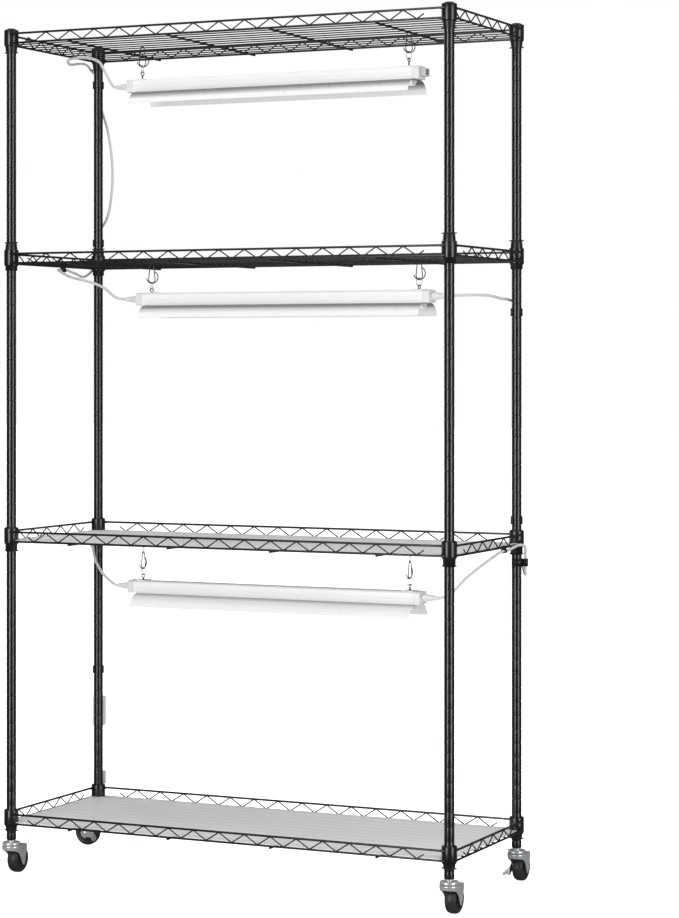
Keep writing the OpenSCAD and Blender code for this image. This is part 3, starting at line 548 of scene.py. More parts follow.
def shelf(name):
    shape = Shape(shift(0, 0, LEVELS[name]))
    for sx, sy in CORNERS.values():
        collar(shape, shift(sx * POST_X, sy * POST_Y, 0))
        for z in (-UPPER_DROP, -LOWER_DROP):
            for at, heading in (
                ((sx * (POST_X - 9.3), sy * (POST_Y + 10.2), z), (1, 0, 0)),
                ((sx * (POST_X + 10.2), sy * (POST_Y - 9.3), z), (0, 1, 0)),
            ):
                a, d = Vector(at), Vector(heading)
                shape.wire([a - 4 * d, a - 2 * d, a + 2 * d, a + 4 * d], 2.35, 10, dome=True)
    for s in (-1, 1):
        truss(shape, POST_X, LONG_FIRST, LONG_PITCHES, shift(0, s * RAIL_Y, 0))
    right, left = (SHORT_FAR, SHORT_NEAR) if name == "top" else (SHORT_NEAR, SHORT_FAR)
    truss(shape, POST_Y, right, SHORT_PITCHES, shift(RAIL_X, 0, 0) @ spin(90))
    truss(shape, POST_Y, left, SHORT_PITCHES, shift(-RAIL_X, 0, 0) @ spin(90))
    pitch = 2 * RAIL_Y / (DECK_COUNT + 1)
    reach = RAIL_X - 0.8
    for i in range(1, DECK_COUNT + 1):
        y = i * pitch - RAIL_Y
        shape.wire([(-reach, y, -LOWER_DROP), (0, y, -LOWER_DROP), (reach, y, -LOWER_DROP)], DECK_R, 10)
    z = -LOWER_DROP - SUPPORT_DROP
    for x in SUPPORT_X:
        shape.wire([(x, -RAIL_Y - 3, z), (x, 0, z), (x, RAIL_Y + 3, z)], RAIL_R, 12, dome=True)
    put(shape.make("wire_shelf_" + name, [MAT["shelf"]]), "rack", "shelf_" + name)


for name in LEVELS:
    shelf(name)


for node in ("liner_third", "liner_bottom"):
    dress(node, "liner", bevel=0.25)


# ---------- casters ----------


def at_caster(corner):
    """The caster's own frame: origin on the floor under its stem, trailing along +Y."""
    sx, sy = CORNERS[corner]
    return shift(sx * POST_X, sy * POST_Y, 0) @ spin(TRAIL_TURN[corner])


AXLE_Z = 25.0
# half of the fork's wall, from the middle of the front round to the rear edge:
# plan position at the top, then plan position and height of the lower edge
FORK_WALL = [
    (0.0, -17.0, 0.0, -16.4, 45.6),
    (6.5, -15.8, 6.2, -15.2, 45.4),
    (12.0, -12.2, 11.4, -11.4, 44.8),
    (15.6, -6.6, 14.2, -5.6, 43.2),
    (17.0, -0.8, 14.6, 1.0, 40.4),
    (17.1, 4.5, 14.2, 6.8, 36.0),
    (16.9, 9.5, 13.8, 11.6, 30.0),
    (16.6, 14.0, 13.5, 15.4, 23.8),
    (16.2, 18.0, 13.3, 18.4, 18.2),
    (15.8, 21.0, 13.3, 20.8, 15.2),
    (15.5, 24.0, 13.3, 23.2, 14.2),
    (15.2, 27.0, 13.3, 25.6, 15.4),
    (15.0, 29.6, 13.4, 27.8, 20.2),
    (14.8, 31.6, 13.6, 29.8, 31.0),
]
FORK_TOP = 53.0


def fork(corner):
    """Stamped fork: a wall that wraps the front and sweeps down to the axle, under a round plate."""
    half = smooth([(a, b, 0) for a, b, *_ in FORK_WALL], 3)
    edge = smooth([(c, d, e) for _, _, c, d, e in FORK_WALL], 3)
    rows = [(-t.x, t.y, -e.x, e.y, e.z) for t, e in zip(half, edge)][:0:-1]
    rows += [(t.x, t.y, e.x, e.y, e.z) for t, e in zip(half, edge)]
    steps = 8
    verts, faces = [], []
    for tx, ty, ex, ey, ez in rows:
        for k in range(steps + 1):
            f = k / steps
            bow = math.sin(math.pi * f) * 0.5
            verts.append((tx + (ex - tx) * f**1.3 + math.copysign(bow, tx or 1) * (abs(tx) > 1),
                          ty + (ey - ty) * f, FORK_TOP - 1 + (ez - FORK_TOP + 1) * f))
    for i in range(len(rows) - 1):
        for k in range(steps):
            a, b = i * (steps + 1) + k, (i + 1) * (steps + 1) + k
            faces.append((a, a + 1, b + 1, b))
    shape = Shape(at_caster(corner))
    shape.add(verts, faces)
    wall = shape.make("fork_wall_" + corner, [MAT["zinc"]], sharp=50)
    thick = wall.modifiers.new("sheet", "SOLIDIFY")
    thick.thickness = 1.8 * MM
    thick.offset = -1
    soften(wall, 0.4, 50)
    put(wall, "caster_" + corner, "fork_" + corner)
    top = Shape(at_caster(corner))
    outline = [(r.x, r.y) for r in half] + [(-r.x, r.y) for r in half[:0:-1]]
    top.prism(outline, 2.0, shift(0, 0, FORK_TOP - 1.6))
    plate = [(4.1, 53.6), (15.2, 53.6), (17.0, 52.9), (17.5, 51.6), (17.2, 50.4), (16.4, 50.0), (4.1, 50.4)]
    top.lathe(plate, closed=True)
    put(top.make("fork_plate_" + corner, [MAT["zinc"]], bevel=0.35), "caster_" + corner)


def axle_rivet(corner):
    """Riveted axle with a flat head on each side."""
    braked = corner.startswith("rear")
    shape = Shape(at_caster(corner) @ shift(0, WHEEL_TRAIL, AXLE_Z) @ spin(90, "Y"))
    left, right = (17.2 if braked else 14.8), 14.8
    shape.lathe([(0, -left), (2.6, -left), (3.6, -left + 0.5), (3.9, -left + 1.4), (3.0, -left + 1.5),
                 (3.0, right - 1.5), (3.9, right - 1.4), (3.6, right - 0.5), (2.6, right), (1.2, right),
                 (0.9, right - 0.5), (0, right - 0.6)], steps=28)
    put(shape.make("axle_rivet_" + corner, [MAT["zinc"]]), "caster_" + corner, "axle_" + corner)


def wheel(corner):
    """Rounded tread on a nylon hub with a recessed web and a hub boss."""
    place = at_caster(corner) @ shift(0, WHEEL_TRAIL, AXLE_Z) @ spin(90, "Y")
    hub = Shape(place)
    side = [
        (3.1, 10.5), (6.4, 10.5), (7.0, 10.1), (7.2, 8.6), (8.2, 7.2),
        (13.2, 6.9), (14.6, 7.8), (15.0, 9.2), (15.8, 9.3), (16.6, 8.6),
    ]
    hub.lathe(side + [(r, -z) for r, z in side[::-1]], steps=48, closed=True)
    put(hub.make("wheel_hub_" + corner, [MAT["hub"]]), "wheel_" + corner, "hub_" + corner)
    tread = Shape(place)
    rim = [(16.7, 8.8), (18.6, 9.9), (20.6, 9.95), (22.6, 9.0), (24.0, 7.2), (24.75, 4.6), (25, 1.6)]
    tread.lathe([(r, -z) for r, z in rim] + rim[::-1], steps=72, closed=True)
    put(tread.make("wheel_tread_" + corner, [MAT["tyre"]]), "wheel_" + corner, "tyre_" + corner)


def pedal(side, corner):
    """Bent brake lever on the axle, with a folded foot tab."""
    shape = Shape(at_caster(corner))
    x = -15.1
    lever = [
        (23, 33), (12, 32.4), (3, 27.8), (-2.6, 19), (-3.4, 14.2), (1.2, 12), (9, 16.4),
        (16, 17.4), (23, 17), (29, 20), (31, 25), (29, 30), (23, 33),
    ]
    outline = [(p.x, p.y) for p in smooth([(*p, 0) for p in lever], 4)[:-1]]
    shape.prism(outline, 1.6, shift(x, 0, 0) @ ALONG_X)
    # the tab: a strip that folds out of the lever and slopes down to its end
    strip = [(x + 1, 2.4, 27.4), (x - 3, 1.6, 26.6), (x - 8, 0.6, 24.6), (x - 11, -0.2, 22.8)]
    lower = [(x + 1, -3.2, 14.6), (x - 3, -3.8, 14.0), (x - 8, -4.4, 12.6), (x - 11, -4.8, 12.2)]
    verts, faces = [], []
    for up, down in zip(strip, lower):
        a, b = Vector(up), Vector(down)
        mid = (a + b) / 2 + Vector((0, 1.8, -0.6))
        for p in (a, mid, b):
            verts += [p, p + Vector((0, 1.4, -0.7))]
    for i in range(len(strip) - 1):
        m, n = i * 6, (i + 1) * 6
        for a, b in ((0, 2), (2, 4), (1, 3), (3, 5), (0, 1), (4, 5)):
            faces.append((m + a, m + b, n + b, n + a))
    faces += [(0, 2, 3, 1), (2, 4, 5, 3)]
    k = (len(strip) - 1) * 6
    faces += [(k, k + 2, k + 3, k + 1), (k + 2, k + 4, k + 5, k + 3)]
    shape.add(verts, faces)
    obj = shape.make("foot_brake_" + side, [MAT["zinc"]], bevel=0.35)
    put(obj, "brake_" + side, "brake_pedal_" + side)


def caster_heads():
    """Stems, collars and domed swivel heads of all four casters."""
    profile = [
        (0, 84), (4, 84), (5, 83), (5, 64), (7.0, 63.9), (7.4, 63.3), (7.4, 61.6), (6.2, 61.0),
        (5.6, 60.6), (5.6, 60.0), (9.0, 59.6), (12.6, 59.9), (14.6, 60.3), (15.9, 59.9), (16.7, 58.8),
        (17.0, 57.2), (16.8, 55.4), (16.0, 54.6), (15.4, 54.2), (6.0, 53.9), (4.0, 53.8), (4.0, 50.9),
        (7, 50.9), (6.6, 48.9), (5.6, 48.3), (0, 48.3),
    ]
    shape = Shape()
    for sx, sy in CORNERS.values():
        place = shift(sx * POST_X, sy * POST_Y, 0)
        shape.lathe(profile, place, 56)
    put(shape.make("caster_heads", [MAT["zinc"]], sharp=30), "rack", "caster_stems")


caster_heads()
for corner in CORNERS:
    fork(corner)
    axle_rivet(corner)
    wheel(corner)
pedal("left", "rear_left")
pedal("right", "rear_right")


# ---------- lights ----------

CAP_LEN = 12.0
HOUSING_W = 32.0
HOUSING_H = 23.0
PLUG_LEN = 30.0
PLUG_Z = -11.0
WEB_Z = -HOUSING_H - 0.1
WING_DROP = 23.0
WING_REACH = 28.0
SHEET_T = 0.8
REFLECTOR_LEN = LIGHT_LEN - 28
REFLECTOR_SHIFT = 5.0
WING_R = (WING_REACH**2 + WING_DROP**2) / (2 * WING_DROP)
# the window in the web: half its width, and the strip of web left at each end
WINDOW_HALF = 13.2
WEB_END = 6.0
DIODES = 36


def at_light(i):
    return shift(LIGHT_X[i], 0, HOUSING_TOP[i])


def housing_outline(w, h, grooves=False):
    """Section of the housing from its lower right corner, up over the top and down the left."""
    right = [(w / 2, -h)]
    if grooves:
        for z in (-h + 4.5, -h + 11.0):
            right += [(w / 2, z - 0.7), (w / 2 - 0.35, z - 0.3), (w / 2 - 0.35, z + 0.3), (w / 2, z + 0.7)]
    for k in range(7):
        a = RAD(90 * k / 6)
        right.append((w / 2 - 5 + 5 * math.cos(a), -4.4 + 4.4 * math.sin(a)))
    if grooves:
        groove = 6.5
        right += [(groove + 0.7, 0), (groove + 0.3, -0.3), (groove - 0.3, -0.3), (groove - 0.7, 0)]
    return right + [(-x, z) for x, z in right[::-1]]


def along(shape, outline, length, x=0.0, slot=0):
    """Outline of (y, z) drawn out along the light, centred at x."""
    shape.prism(outline, length, shift(x - length / 2, 0, 0) @ ALONG_X, slot)


def housing(i):
    shape = Shape(at_light(i))
    outer = housing_outline(HOUSING_W, HOUSING_H, True)
    inner = [(x * 0.92, z * 0.93 - 1.2) for x, z in housing_outline(HOUSING_W, HOUSING_H)]
    length = LIGHT_LEN - 2 * CAP_LEN - 0.1
    inner = [(x, max(z, -HOUSING_H)) for x, z in inner]
    n, m = len(outer), len(inner)
    verts, faces = [], []
    for x in (-length / 2, length / 2):
        verts += [(x, y, z) for y, z in outer]
    faces += [(k, k + 1, n + k + 1, n + k) for k in range(n - 1)]
    base = len(verts)
    for x in (-length / 2, length / 2):
        verts += [(x, y, z) for y, z in inner]
    faces += [(base + k, base + m + k, base + m + k + 1, base + k + 1) for k in range(m - 1)]
    for end, (o, q) in enumerate(((0, base), (n, base + m))):
        ring = [o + k for k in range(n)] + [q + k for k in range(m - 1, -1, -1)]
        faces.append(tuple(ring if end else ring[::-1]))
    faces.append((0, n, base + m, base))
    faces.append((n - 1, base + m - 1, base + 2 * m - 1, 2 * n - 1))
    shape.add(verts, faces)
    put(shape.make(f"light_{i}_channel", [MAT["light"]], sharp=28), f"light_{i}",
        f"light_{i}_housing")


# painted shade and painted reflection on each reflector's wings, darkest under the housing: tones at places
# from 0 at the housing to 1 at the lower edge
WING_PAINTED_SHADE = {
    1: [(0.0, 0.06), (0.22, 0.17), (0.45, 0.5), (0.68, 0.98)],
    2: [(0.0, 0.08), (0.16, 0.2), (0.38, 0.7), (0.65, 1.0)],
    3: [(0.0, 0.3), (0.08, 0.6), (0.2, 0.95), (0.6, 1.0)],
}


def wing_painted_shade(name, top, bottom, tones):
    look = sheet_look(name, grey(0.82), 0.3, (1, 90, 90))
    # the wings' colour carries painted shade and a painted reflection of the dark shelf above, darkest
    # under the housing
    look.fade(top, bottom, tones)
    return look.mat


def reflector(i):
    """Curved wings on both sides of a slotted web, each with a rolled edge."""
    shape = Shape(at_light(i))
    turn = math.asin(WING_REACH / WING_R)
    steps = 28
    outline = []
    for r in (WING_R, WING_R - SHEET_T):
        side = []
        for k in range(steps + 1):
            a = turn * k / steps
            side.append((HOUSING_W / 2 + r * math.sin(a), WEB_Z - WING_R + r * math.cos(a)))
        outline.append(side)
    upper, lower = outline
    for s in (-1, 1):
        half = upper + lower[::-1] + [(WINDOW_HALF, WEB_Z - SHEET_T), (WINDOW_HALF, WEB_Z)]
        half = [(s * y, z) for y, z in half]
        along(shape, half, REFLECTOR_LEN, REFLECTOR_SHIFT)
        tip = ((upper[-1][0] + lower[-1][0]) / 2 * s, (upper[-1][1] + lower[-1][1]) / 2)
        turns = [RAD(30 * k) for k in range(12)]
        bead = [(tip[0] + 0.7 * math.cos(t), tip[1] + 0.55 + 0.7 * math.sin(t)) for t in turns]
        along(shape, bead, REFLECTOR_LEN, REFLECTOR_SHIFT)
    for s in (-1, 1):
        a, b = sorted(REFLECTOR_SHIFT + s * (REFLECTOR_LEN / 2 - inset) for inset in (0, WEB_END))
        shape.block((a, -WINDOW_HALF, WEB_Z - SHEET_T), (b, WINDOW_HALF, WEB_Z))
    top = (HOUSING_TOP[i] + WEB_Z) * MM
    # painted shade down the wings, from the housing to their lower edge
    paint = wing_painted_shade(f"wing_painted_shade_{i}", top, top - WING_DROP * MM, WING_PAINTED_SHADE[i])
    put(shape.make(f"light_{i}_wings", [paint], sharp=30), f"light_{i}", f"light_{i}_reflector")


def board(i):
    """Strip of diodes on its board."""
    shape = Shape(at_light(i))
    length = LIGHT_LEN - 2 * CAP_LEN - 14
    z = -HOUSING_H + 4
    shape.block((-length / 2, -9, z), (length / 2, 9, z + 1.6), 0)
    for k in range(DIODES):
        x = (k + 0.5) * length / DIODES - length / 2
        shape.block((x - 1.75, -1.4, z - 0.8), (x + 1.75, 1.4, z + 0.05), 1)
        if k % 3 == 1:
            shape.block((x + 4.6, 3.5, z - 0.5), (x + 6.2, 4.4, z + 0.05), 2)
    put(shape.make(f"light_{i}_diodes", [MAT["board"], MAT["chip"], MAT["slot"]]), f"light_{i}",
        f"light_{i}_board")


def plug(shape, s):
    """Tapered cord plug with moulded strain relief rings."""
    place = shift(s * LIGHT_LEN / 2, 0, PLUG_Z) @ spin(90 if s > 0 else -90, "Y")
    profile = [(0, 0), (7.0, 0), (7.5, 0.6), (7.5, 7.4), (7.1, 8.4), (6.3, 9.0), (6.0, 10.5)]
    for k in range(5):
        z = 12.0 + 2.6 * k
        r = 5.9 - 0.3 * k
        profile += [(r, z), (r, z + 1.3), (r - 0.55, z + 1.5), (r - 0.6, z + 2.4)]
    profile += [(4.2, 25.4), (4.1, 28.6), (3.5, 29.6), (2.7, 30), (0, 30)]
    shape.lathe(profile, place, 32)


def spare_socket(shape):
    """Open outlet on the end of the first light, with its two pins."""
    x0 = LIGHT_LEN / 2
    z = PLUG_Z
    for lo, hi in (
        ((x0, -9, z - 7), (x0 + 11, 9, z - 5)), ((x0, -9, z + 5), (x0 + 11, 9, z + 7)),
        ((x0, -9, z - 5), (x0 + 11, -7, z + 5)), ((x0, 7, z - 5), (x0 + 11, 9, z + 5)),
    ):
        shape.block(lo, hi, 1)
    shape.block((x0 + 0.1, -7, z - 5), (x0 + 2.5, 7, z + 5), 2)
    pin = [(0, 0), (1.1, 0), (1.1, 6.6), (0.7, 7.2), (0, 7.3)]
    for y in (-3.2, 3.2):
        shape.lathe(pin, shift(x0 + 2, y, z) @ spin(90, "Y"), 14, 1)


def caps(i):
    shape = Shape(at_light(i))
    outline = [(x, z + 0.6) for x, z in housing_outline(HOUSING_W + 1.2, HOUSING_H + 0.6)]
    for s in (-1, 1):
        x = s * (LIGHT_LEN / 2 - CAP_LEN / 2)
        along(shape, outline, CAP_LEN, x)
        rim = [(a * 0.86, (z + 12) * 0.84 - 12) for a, z in outline]
        along(shape, rim, 0.7, s * (LIGHT_LEN / 2 + 0.2))
        for y in (-11.6, 11.6):
            shape.lathe([(0, 1.1), (1.7, 1.0), (2.1, 0.4), (2.1, -0.4), (0, -0.4)],
                        shift(s * (LIGHT_LEN / 2 + 0.4), y, -6.0) @ spin(90 * s, "Y"), 16, 1)
    plug(shape, -1)
    if i > 1:
        plug(shape, 1)
    else:
        spare_socket(shape)
    mats = [MAT["cap"], MAT["socket"], MAT["slot"]]
    obj = shape.make(f"light_{i}_ends", mats, bevel=0.45, sharp=32)
    put(obj, f"light_{i}", f"light_{i}_caps")


def arc(r, x, z, start, end, steps):
    """Points around (x, z) in the local XZ plane, from one angle to another."""
    return [
        (x + r * math.cos(RAD(start + (end - start) * k / steps)), 0,
         z + r * math.sin(RAD(start + (end - start) * k / steps)))
        for k in range(steps + 1)
    ]


HOOK_R = 0.9
HOOK_TOP_R = 3.6
HOOK_TOP_Z = -1.25
HOOK_LOW_R = 6.5


def pear_loop(shape, low_r, low_z, slot):
    """Closed wire loop with a small round top and a larger round bottom."""
    lean = math.degrees(math.asin((low_r - HOOK_TOP_R) / (HOOK_TOP_Z - low_z)))
    path = arc(low_r, 0, low_z, -88, lean, 12) + arc(HOOK_TOP_R, 0, HOOK_TOP_Z, lean, 180 - lean, 16)
    path += arc(low_r, 0, low_z, 180 - lean, 268, 12)
    shape.wire(path, HOOK_R, 12, slot, closed=True)


def ring(shape, r, wire_d, z, turn, slot):
    old = shape.place
    shape.place = old @ shift(0, 0, z) @ spin(turn)
    loop = arc(r, 0, 0, 0, 351, 39)
    shape.wire(loop, wire_d / 2, 12, slot, closed=True)
    shape.place = old


def hanger(shape, drop, hook_turn, ring_turn, eye_turn, linked):
    """Link, snap hook, split ring, screw eye and saddle clip, hanging from the wire at the origin."""
    hook_z = -27.0 if linked else 0.0
    low_z = hook_z - (22 if linked else 28)
    low_rim = low_z - HOOK_LOW_R
    ring_z = low_rim + 1.65 + 0.15 - 7
    eye_z = ring_z - 7 + 1.65 + 0.15 - 3.4
    base = shape.place
    if linked:
        shape.place = base @ spin(45)
        pear_loop(shape, HOOK_TOP_R + 0.4, hook_z + 4.2, 1)
    shape.place = base @ spin(-hook_turn) @ shift(0, 0, hook_z)
    pear_loop(shape, HOOK_LOW_R, low_z - hook_z, 0)
    shape.place = shape.place @ shift(0, 1.95, 0)
    shape.wire(arc(11.5, 1.5, low_z - hook_z + 4.1, 195, 420, 40), HOOK_R, 12, 0, dome=True)
    shape.place = base
    ring(shape, 7, 1.5, ring_z, -ring_turn, 1)
    ring(shape, 3.4, 1.8, eye_z, -eye_turn, 0)
    z = -drop + 0.05
    shape.lathe([(0, z - 4), (1.5, z - 4), (1.5, z + 1.5), (3.0, z + 1.6), (3.0, z + 2.4), (2.0, z + 2.8),
                 (1.5, z + 3.2), (1.4, eye_z - 3.2), (0, eye_z - 3.2)], steps=20, slot=0)
    # flat saddle with two slots, each floored with a dark pad that is painted shade in the slot
    for x0, x1 in ((-13, -11.5), (-4.5, 4.5), (11.5, 13)):
        shape.block((x0, -10, z), (x1, 10, z + 1.5), 2)
    for y0, y1 in ((-10, -1.5), (1.5, 10)):
        for x0, x1 in ((-11.5, -4.5), (4.5, 11.5)):
            shape.block((x0, y0, z), (x1, y1, z + 1.5), 2)
    # dark pads: painted shade in the slots
    for x0, x1 in ((-11.5, -4.5), (4.5, 11.5)):
        shape.block((x0, -1.5, z + 0.02), (x1, 1.5, z + 0.3), 3)


def hangers(i):
    linked = i == 3
    drop = LIGHT_LEVEL[i] - LOWER_DROP - HOUSING_TOP[i]
    shape = Shape()
    for s, ring_turn, eye_turn in ((-1, -60 if linked else -45, 30), (1, 70 if linked else 110, 10)):
        shape.place = shift(LIGHT_X[i] + s * HOOK_SPAN / 2, 0, LIGHT_LEVEL[i] - LOWER_DROP) @ spin(90)
        hanger(shape, drop, 5 if linked else 40, ring_turn, eye_turn, linked)
    obj = shape.make(f"light_{i}_hooks", [MAT["hook"], MAT["ring"], MAT["light"], MAT["slot"]])
    put(obj, f"light_{i}", f"light_{i}_hangers")


for i in (1, 2, 3):
    housing(i)
    reflector(i)
    board(i)
    caps(i)
    hangers(i)
    dress(f"light_{i}_lens", "lens")


# ---------- cords ----------

CRADLE_R = POST_R + 5.4
WIDE_CRADLE_R = CRADLE_R + 2
REAR_TURN = 115.0
CLIP_Z = {
    1: LEVELS["top"] - 72,
    2: LEVELS["second"] + 25,
    3: LEVELS["second"] - 115,
    4: LEVELS["third"] + 19,
    5: LEVELS["third"] - 58,
    6: LEVELS["third"] - 296,
}
RAIL_CLIP_DROP = 6.4
LEFT_CLIP_Y = 43.0
RIGHT_CLIP_Y = 71.7
SWITCH_AT = Vector((-POST_X - 9, POST_Y + 20, 262))
# half of the switch's length
SWITCH_HALF = 28.5
PLUG_AT = SWITCH_AT + Vector((-2, 5, -110))
# the length of cord at each end that plugs into a light, made as a piece of its own
BEND_LEN = 74.0


def plug_mouth(i, s, gap=2.0):
    """Where a cord leaves the plug at one end of a light."""
    return Vector((LIGHT_X[i] + s * (LIGHT_LEN / 2 + PLUG_LEN + gap), 0, HOUSING_TOP[i] + PLUG_Z))


def beside(corner, r, turn, z):
    """Point at a radius and an angle around a post."""
    sx, sy = CORNERS[corner]
    return Vector((sx * POST_X + r * math.cos(RAD(turn)), sy * POST_Y + r * math.sin(RAD(turn)), z))


def cord(name, path, stands_for, start_light=None, end_light=None):
    """A run of cord on the rack, with each end that plugs into a light made as a piece of its own."""
    pts = smooth(path, 12)
    axes = frames(pts, False)
    spans = [0.0]
    for a, b in zip(pts, pts[1:]):
        spans.append(spans[-1] + (b - a).length)
    first = next(k for k, d in enumerate(spans) if d >= BEND_LEN) if start_light else 0
    last = next(k for k, d in enumerate(spans) if d >= spans[-1] - BEND_LEN) if end_light else len(pts) - 1
    parts = [("run", first, last, None)]
    if start_light:
        parts.append(("start", 0, first, start_light))
    if end_light:
        parts.append(("end", last, len(pts) - 1, end_light))
    sides = 16
    for part, a, b, light in parts:
        shape = Shape()
        verts, faces = [], []
        for p, (u, v) in list(zip(pts, axes))[a : b + 1]:
            for k in range(sides):
                t = 2 * math.pi * k / sides
                verts.append(p + CORD_D / 2 * (math.cos(t) * u + math.sin(t) * v))
        for i in range(b - a):
            for k in range(sides):
                n = (k + 1) % sides
                faces.append((i * sides + k, i * sides + n, (i + 1) * sides + n, (i + 1) * sides + k))
        shape.add(verts, faces)
        obj = shape.make(f"{name}_{part}", [MAT["cord"]])
        if part == "run":
            put(obj, "rack", stands_for)
        else:
            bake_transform(obj)


def held(corner, r, turn, z):
    """The straight run of a cord through a clip on a post."""
    return [beside(corner, r, turn, z + dz) for dz in (18, 9, -9, -18)]


def hung(x, y, z):
    """The straight run of a cord through a clip under a rail."""
    return [(x, y + dy, z - RAIL_CLIP_DROP) for dy in (15, 8, -8, -15)]


def cords():
    deck_z, second_z, third_z = (LEVELS[n] - LOWER_DROP for n in ("top", "second", "third"))
    start, end = plug_mouth(1, -1), plug_mouth(2, -1)
    into = Vector((6, 0, 0))
    cord("cord_upper", [
        start + into, start, start + Vector((-20, 2, 22)), (start.x - 42, 12, deck_z - 22),
        (-RAIL_X + 60, 28, deck_z - 9), (-RAIL_X + 14, 44, deck_z - 9), (-RAIL_X - 6, 80, deck_z - 13),
        beside("rear_left", 19, 205, CLIP_Z[1] + 36), beside("rear_left", 18, 178, CLIP_Z[1] + 31),
        beside("rear_left", 16.5, 150, CLIP_Z[1] + 25),
        *held("rear_left", CRADLE_R, REAR_TURN, CLIP_Z[1]),
        beside("rear_left", 22, 60, CLIP_Z[1] - 90), beside("rear_left", 27, 32, CLIP_Z[1] - 200),
        beside("rear_left", 20, 70, CLIP_Z[2] + 45), *held("rear_left", CRADLE_R, REAR_TURN, CLIP_Z[2]),
        beside("rear_left", 17.2, 120, LEVELS["second"] - 1),
        beside("rear_left", 19.5, 135, LEVELS["second"] - 16),
        (-RAIL_X - 7, POST_Y - 14, second_z - 14), (-RAIL_X - 2, LEFT_CLIP_Y + 50, second_z - 11),
        *hung(-RAIL_X, LEFT_CLIP_Y, second_z),
        (-RAIL_X + 22, LEFT_CLIP_Y - 26, second_z - 16), (end.x - 48, 4, end.z + 22),
        (end.x - 18, 0, end.z + 3), end, end + into,
    ], "cord_upper", 1, 2)
    start, end = plug_mouth(2, 1), plug_mouth(3, 1)
    cord("cord_middle", [
        start - into, start, start + Vector((18, 10, 1)), start + Vector((46, 60, 2)),
        (POST_X - 16, POST_Y - 32, start.z - 3),
        beside("rear_right", 15, 160, CLIP_Z[3] + 20),
        *held("rear_right", CRADLE_R, REAR_TURN, CLIP_Z[3] - 2),
        beside("rear_right", CRADLE_R, REAR_TURN, (CLIP_Z[3] + CLIP_Z[4]) / 2),
        *(beside("rear_right", CRADLE_R, REAR_TURN, CLIP_Z[4] + dz) for dz in (18, 9, -8)),
        beside("rear_right", 17, 111, LEVELS["third"]),
        beside("rear_right", 18, 108, LEVELS["third"] - 15), beside("rear_right", 18, 90, CLIP_Z[5] + 14),
        beside("rear_right", 18, 72, CLIP_Z[5] - 8), beside("rear_right", 17.5, 44, CLIP_Z[5] - 23),
        *(beside("rear_right", WIDE_CRADLE_R, 16, CLIP_Z[5] + dz) for dz in (-16, -9, 9, 14)),
        (RAIL_X + 7, POST_Y - 4, third_z - 6),
        (RAIL_X + 7, POST_Y - 30, third_z + 1), (RAIL_X + 5, RIGHT_CLIP_Y + 30, third_z - 2),
        *hung(RAIL_X, RIGHT_CLIP_Y, third_z),
        (RAIL_X - 12, RIGHT_CLIP_Y - 24, third_z - 16), (end.x + 44, 26, end.z + 38),
        (end.x + 12, 3, end.z + 4), end, end - into,
    ], "cord_middle", 2, 3)
    start = plug_mouth(3, -1)
    up = Vector((0, 0, 1))
    cord("power_cord", [
        start + into, start, start + Vector((-20, 4, 9)), start + Vector((-60, 30, 36)),
        (-POST_X + 22, POST_Y - 62, third_z - 16),
        (-RAIL_X - 3, POST_Y - 6, third_z - 24), beside("rear_left", 19, 135, third_z - 50),
        beside("rear_left", 15, 118, third_z - 120), beside("rear_left", 14.2, 116, third_z - 200),
        *held("rear_left", CRADLE_R, REAR_TURN, CLIP_Z[6]),
        *(SWITCH_AT + up * (SWITCH_HALF + dz) for dz in (24, 10, -5)),
    ], "power_cord", 3)
    tail = Shape()
    path = [SWITCH_AT - up * (SWITCH_HALF + dz) for dz in (-5, 4, 16)]
    path += [PLUG_AT + Vector((1, -1, 26)), PLUG_AT + up * 10, PLUG_AT - up * 3]
    tail.wire(smooth(path, 12), CORD_D / 2, 16)
    put(tail.make("power_cord_tail", [MAT["cord"]]), "rack")


cords()

for node in ("switch_base", "switch_cover"):
    dress(node, "switch", bevel=0.5)
dress("switch_rocker", "switch", bevel=0.3)
dress("wall_plug", "cord", bevel=0.5)


# ---------- floor, light and camera ----------


def emitter(name, size, energy, place, target):
    """Soft rectangular lamp that faces a point."""
    data = bpy.data.lights.new(name, "AREA")
    data.shape = "RECTANGLE"
    data.size, data.size_y = size
    data.energy = energy
    obj = bpy.data.objects.new(name, data)
    obj.location = place
    obj.rotation_euler = (Vector(target) - Vector(place)).to_track_quat("-Z", "Y").to_euler()
    bpy.context.scene.collection.objects.link(obj)


def glow(mat, strength):
    """Lift a surface for the camera alone, so the floor runs into the white backdrop."""
    tree = mat.node_tree
    surface = next(n for n in tree.nodes if n.type == "BSDF_PRINCIPLED")
    out = next(n for n in tree.nodes if n.type == "OUTPUT_MATERIAL")
    path = tree.nodes.new("ShaderNodeLightPath")
    gain = tree.nodes.new("ShaderNodeMath")
    gain.operation = "MULTIPLY"
    gain.inputs[1].default_value = strength
    shine = tree.nodes.new("ShaderNodeEmission")
    both = tree.nodes.new("ShaderNodeAddShader")
    tree.links.new(path.outputs["Is Camera Ray"], gain.inputs[0])
    tree.links.new(gain.outputs[0], shine.inputs["Strength"])
    tree.links.new(surface.outputs[0], both.inputs[0])
    tree.links.new(shine.outputs[0], both.inputs[1])
    tree.links.new(both.outputs[0], out.inputs["Surface"])


def white(tree, strength):
    """A plain white background's shader output."""
    background = tree.nodes.new("ShaderNodeBackground")
    background.inputs["Color"].default_value = (1, 1, 1, 1)
    background.inputs["Strength"].default_value = strength
    return background.outputs[0]


FLOOR_GLOW = 0.9
BACKDROP = 1.0
FILL = 0.62
MIRRORED = 0.112


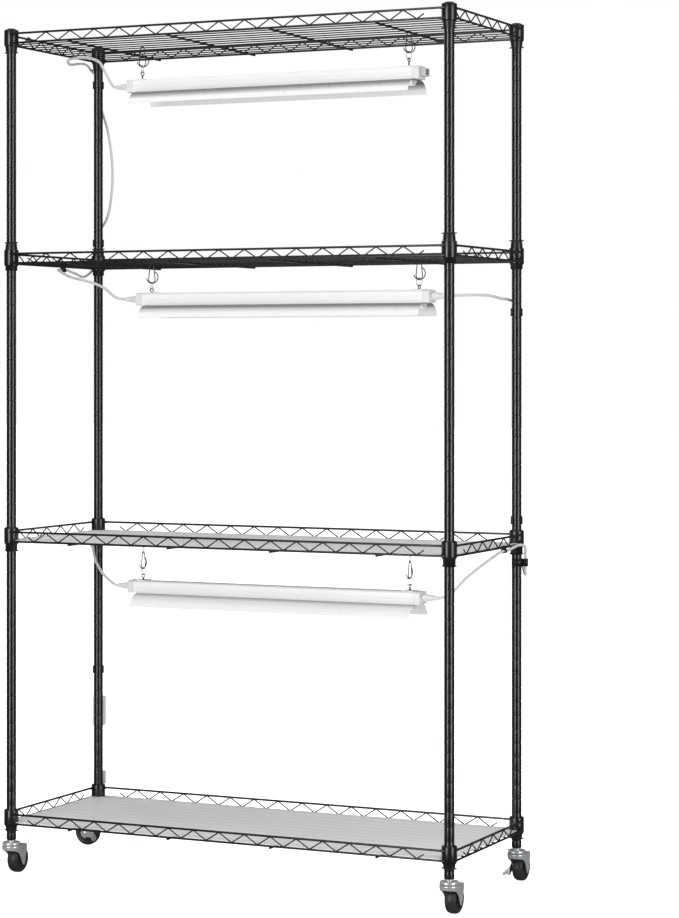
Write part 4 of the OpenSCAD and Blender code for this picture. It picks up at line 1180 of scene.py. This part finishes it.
def stage():
    bpy.ops.mesh.primitive_plane_add(size=60, location=(0, 0, -0.0005))
    floor = bpy.context.object
    floor.name = "floor"
    floor.visible_glossy = False
    look = Look("floor_pale").set(Roughness=0.6, Specular_IOR_Level=0.2)
    look.colours(look.noise(0.8, 3), [(0.3, (0.9, 0.9, 0.9)), (0.7, (0.93, 0.93, 0.93))])
    floor.data.materials.append(look.mat)
    glow(look.mat, FLOOR_GLOW)


def surroundings():
    """White to the camera, soft on the pieces, and dim where they mirror it."""
    world = bpy.data.worlds.new("studio")
    scene = bpy.context.scene
    scene.world = world
    world.use_nodes = True
    tree = world.node_tree
    tree.nodes.clear()
    out = tree.nodes.new("ShaderNodeOutputWorld")
    seen, fill, mirrored = (white(tree, strength) for strength in (BACKDROP, FILL, MIRRORED))
    glossy = tree.nodes.new("ShaderNodeMixShader")
    path = tree.nodes.new("ShaderNodeLightPath")
    mix = tree.nodes.new("ShaderNodeMixShader")
    tree.links.new(path.outputs["Is Camera Ray"], mix.inputs[0])
    tree.links.new(path.outputs["Is Glossy Ray"], glossy.inputs[0])
    tree.links.new(fill, glossy.inputs[1])
    tree.links.new(mirrored, glossy.inputs[2])
    tree.links.new(glossy.outputs[0], mix.inputs[1])
    tree.links.new(seen, mix.inputs[2])
    tree.links.new(mix.outputs[0], out.inputs["Surface"])
    scene.view_settings.view_transform = "Standard"
    scene.view_settings.look = "None"


def lamps():
    emitter("soft_left", (1.6, 3.4), 120, (-0.8, -4.6, 1.1), (0, 0, 0.9))
    emitter("soft_right", (1.8, 3.4), 90, (4.3, -1.3, 1.1), (0, 0, 0.9))
    emitter("soft_back", (1.2, 3.4), 30, (-3.6, 2.4, 1.1), (0, 0, 0.9))
    emitter("soft_top", (3.0, 2.0), 30, (0, 0, 3.6), (0, 0, 0.8))


def camera():
    """Stands where the photo was taken from."""
    data = bpy.data.cameras.new("camera")
    data.sensor_width = 36
    data.lens = 104.975
    data.shift_x = 0.03667
    data.shift_y = -0.10846
    data.clip_end = 60
    obj = bpy.data.objects.new("camera", data)
    obj.location = (2.1778, -4.4155, 0.954)
    obj.rotation_euler = (RAD(90), 0, RAD(25.312))
    bpy.context.scene.collection.objects.link(obj)
    bpy.context.scene.camera = obj


stage()
surroundings()
lamps()
camera()
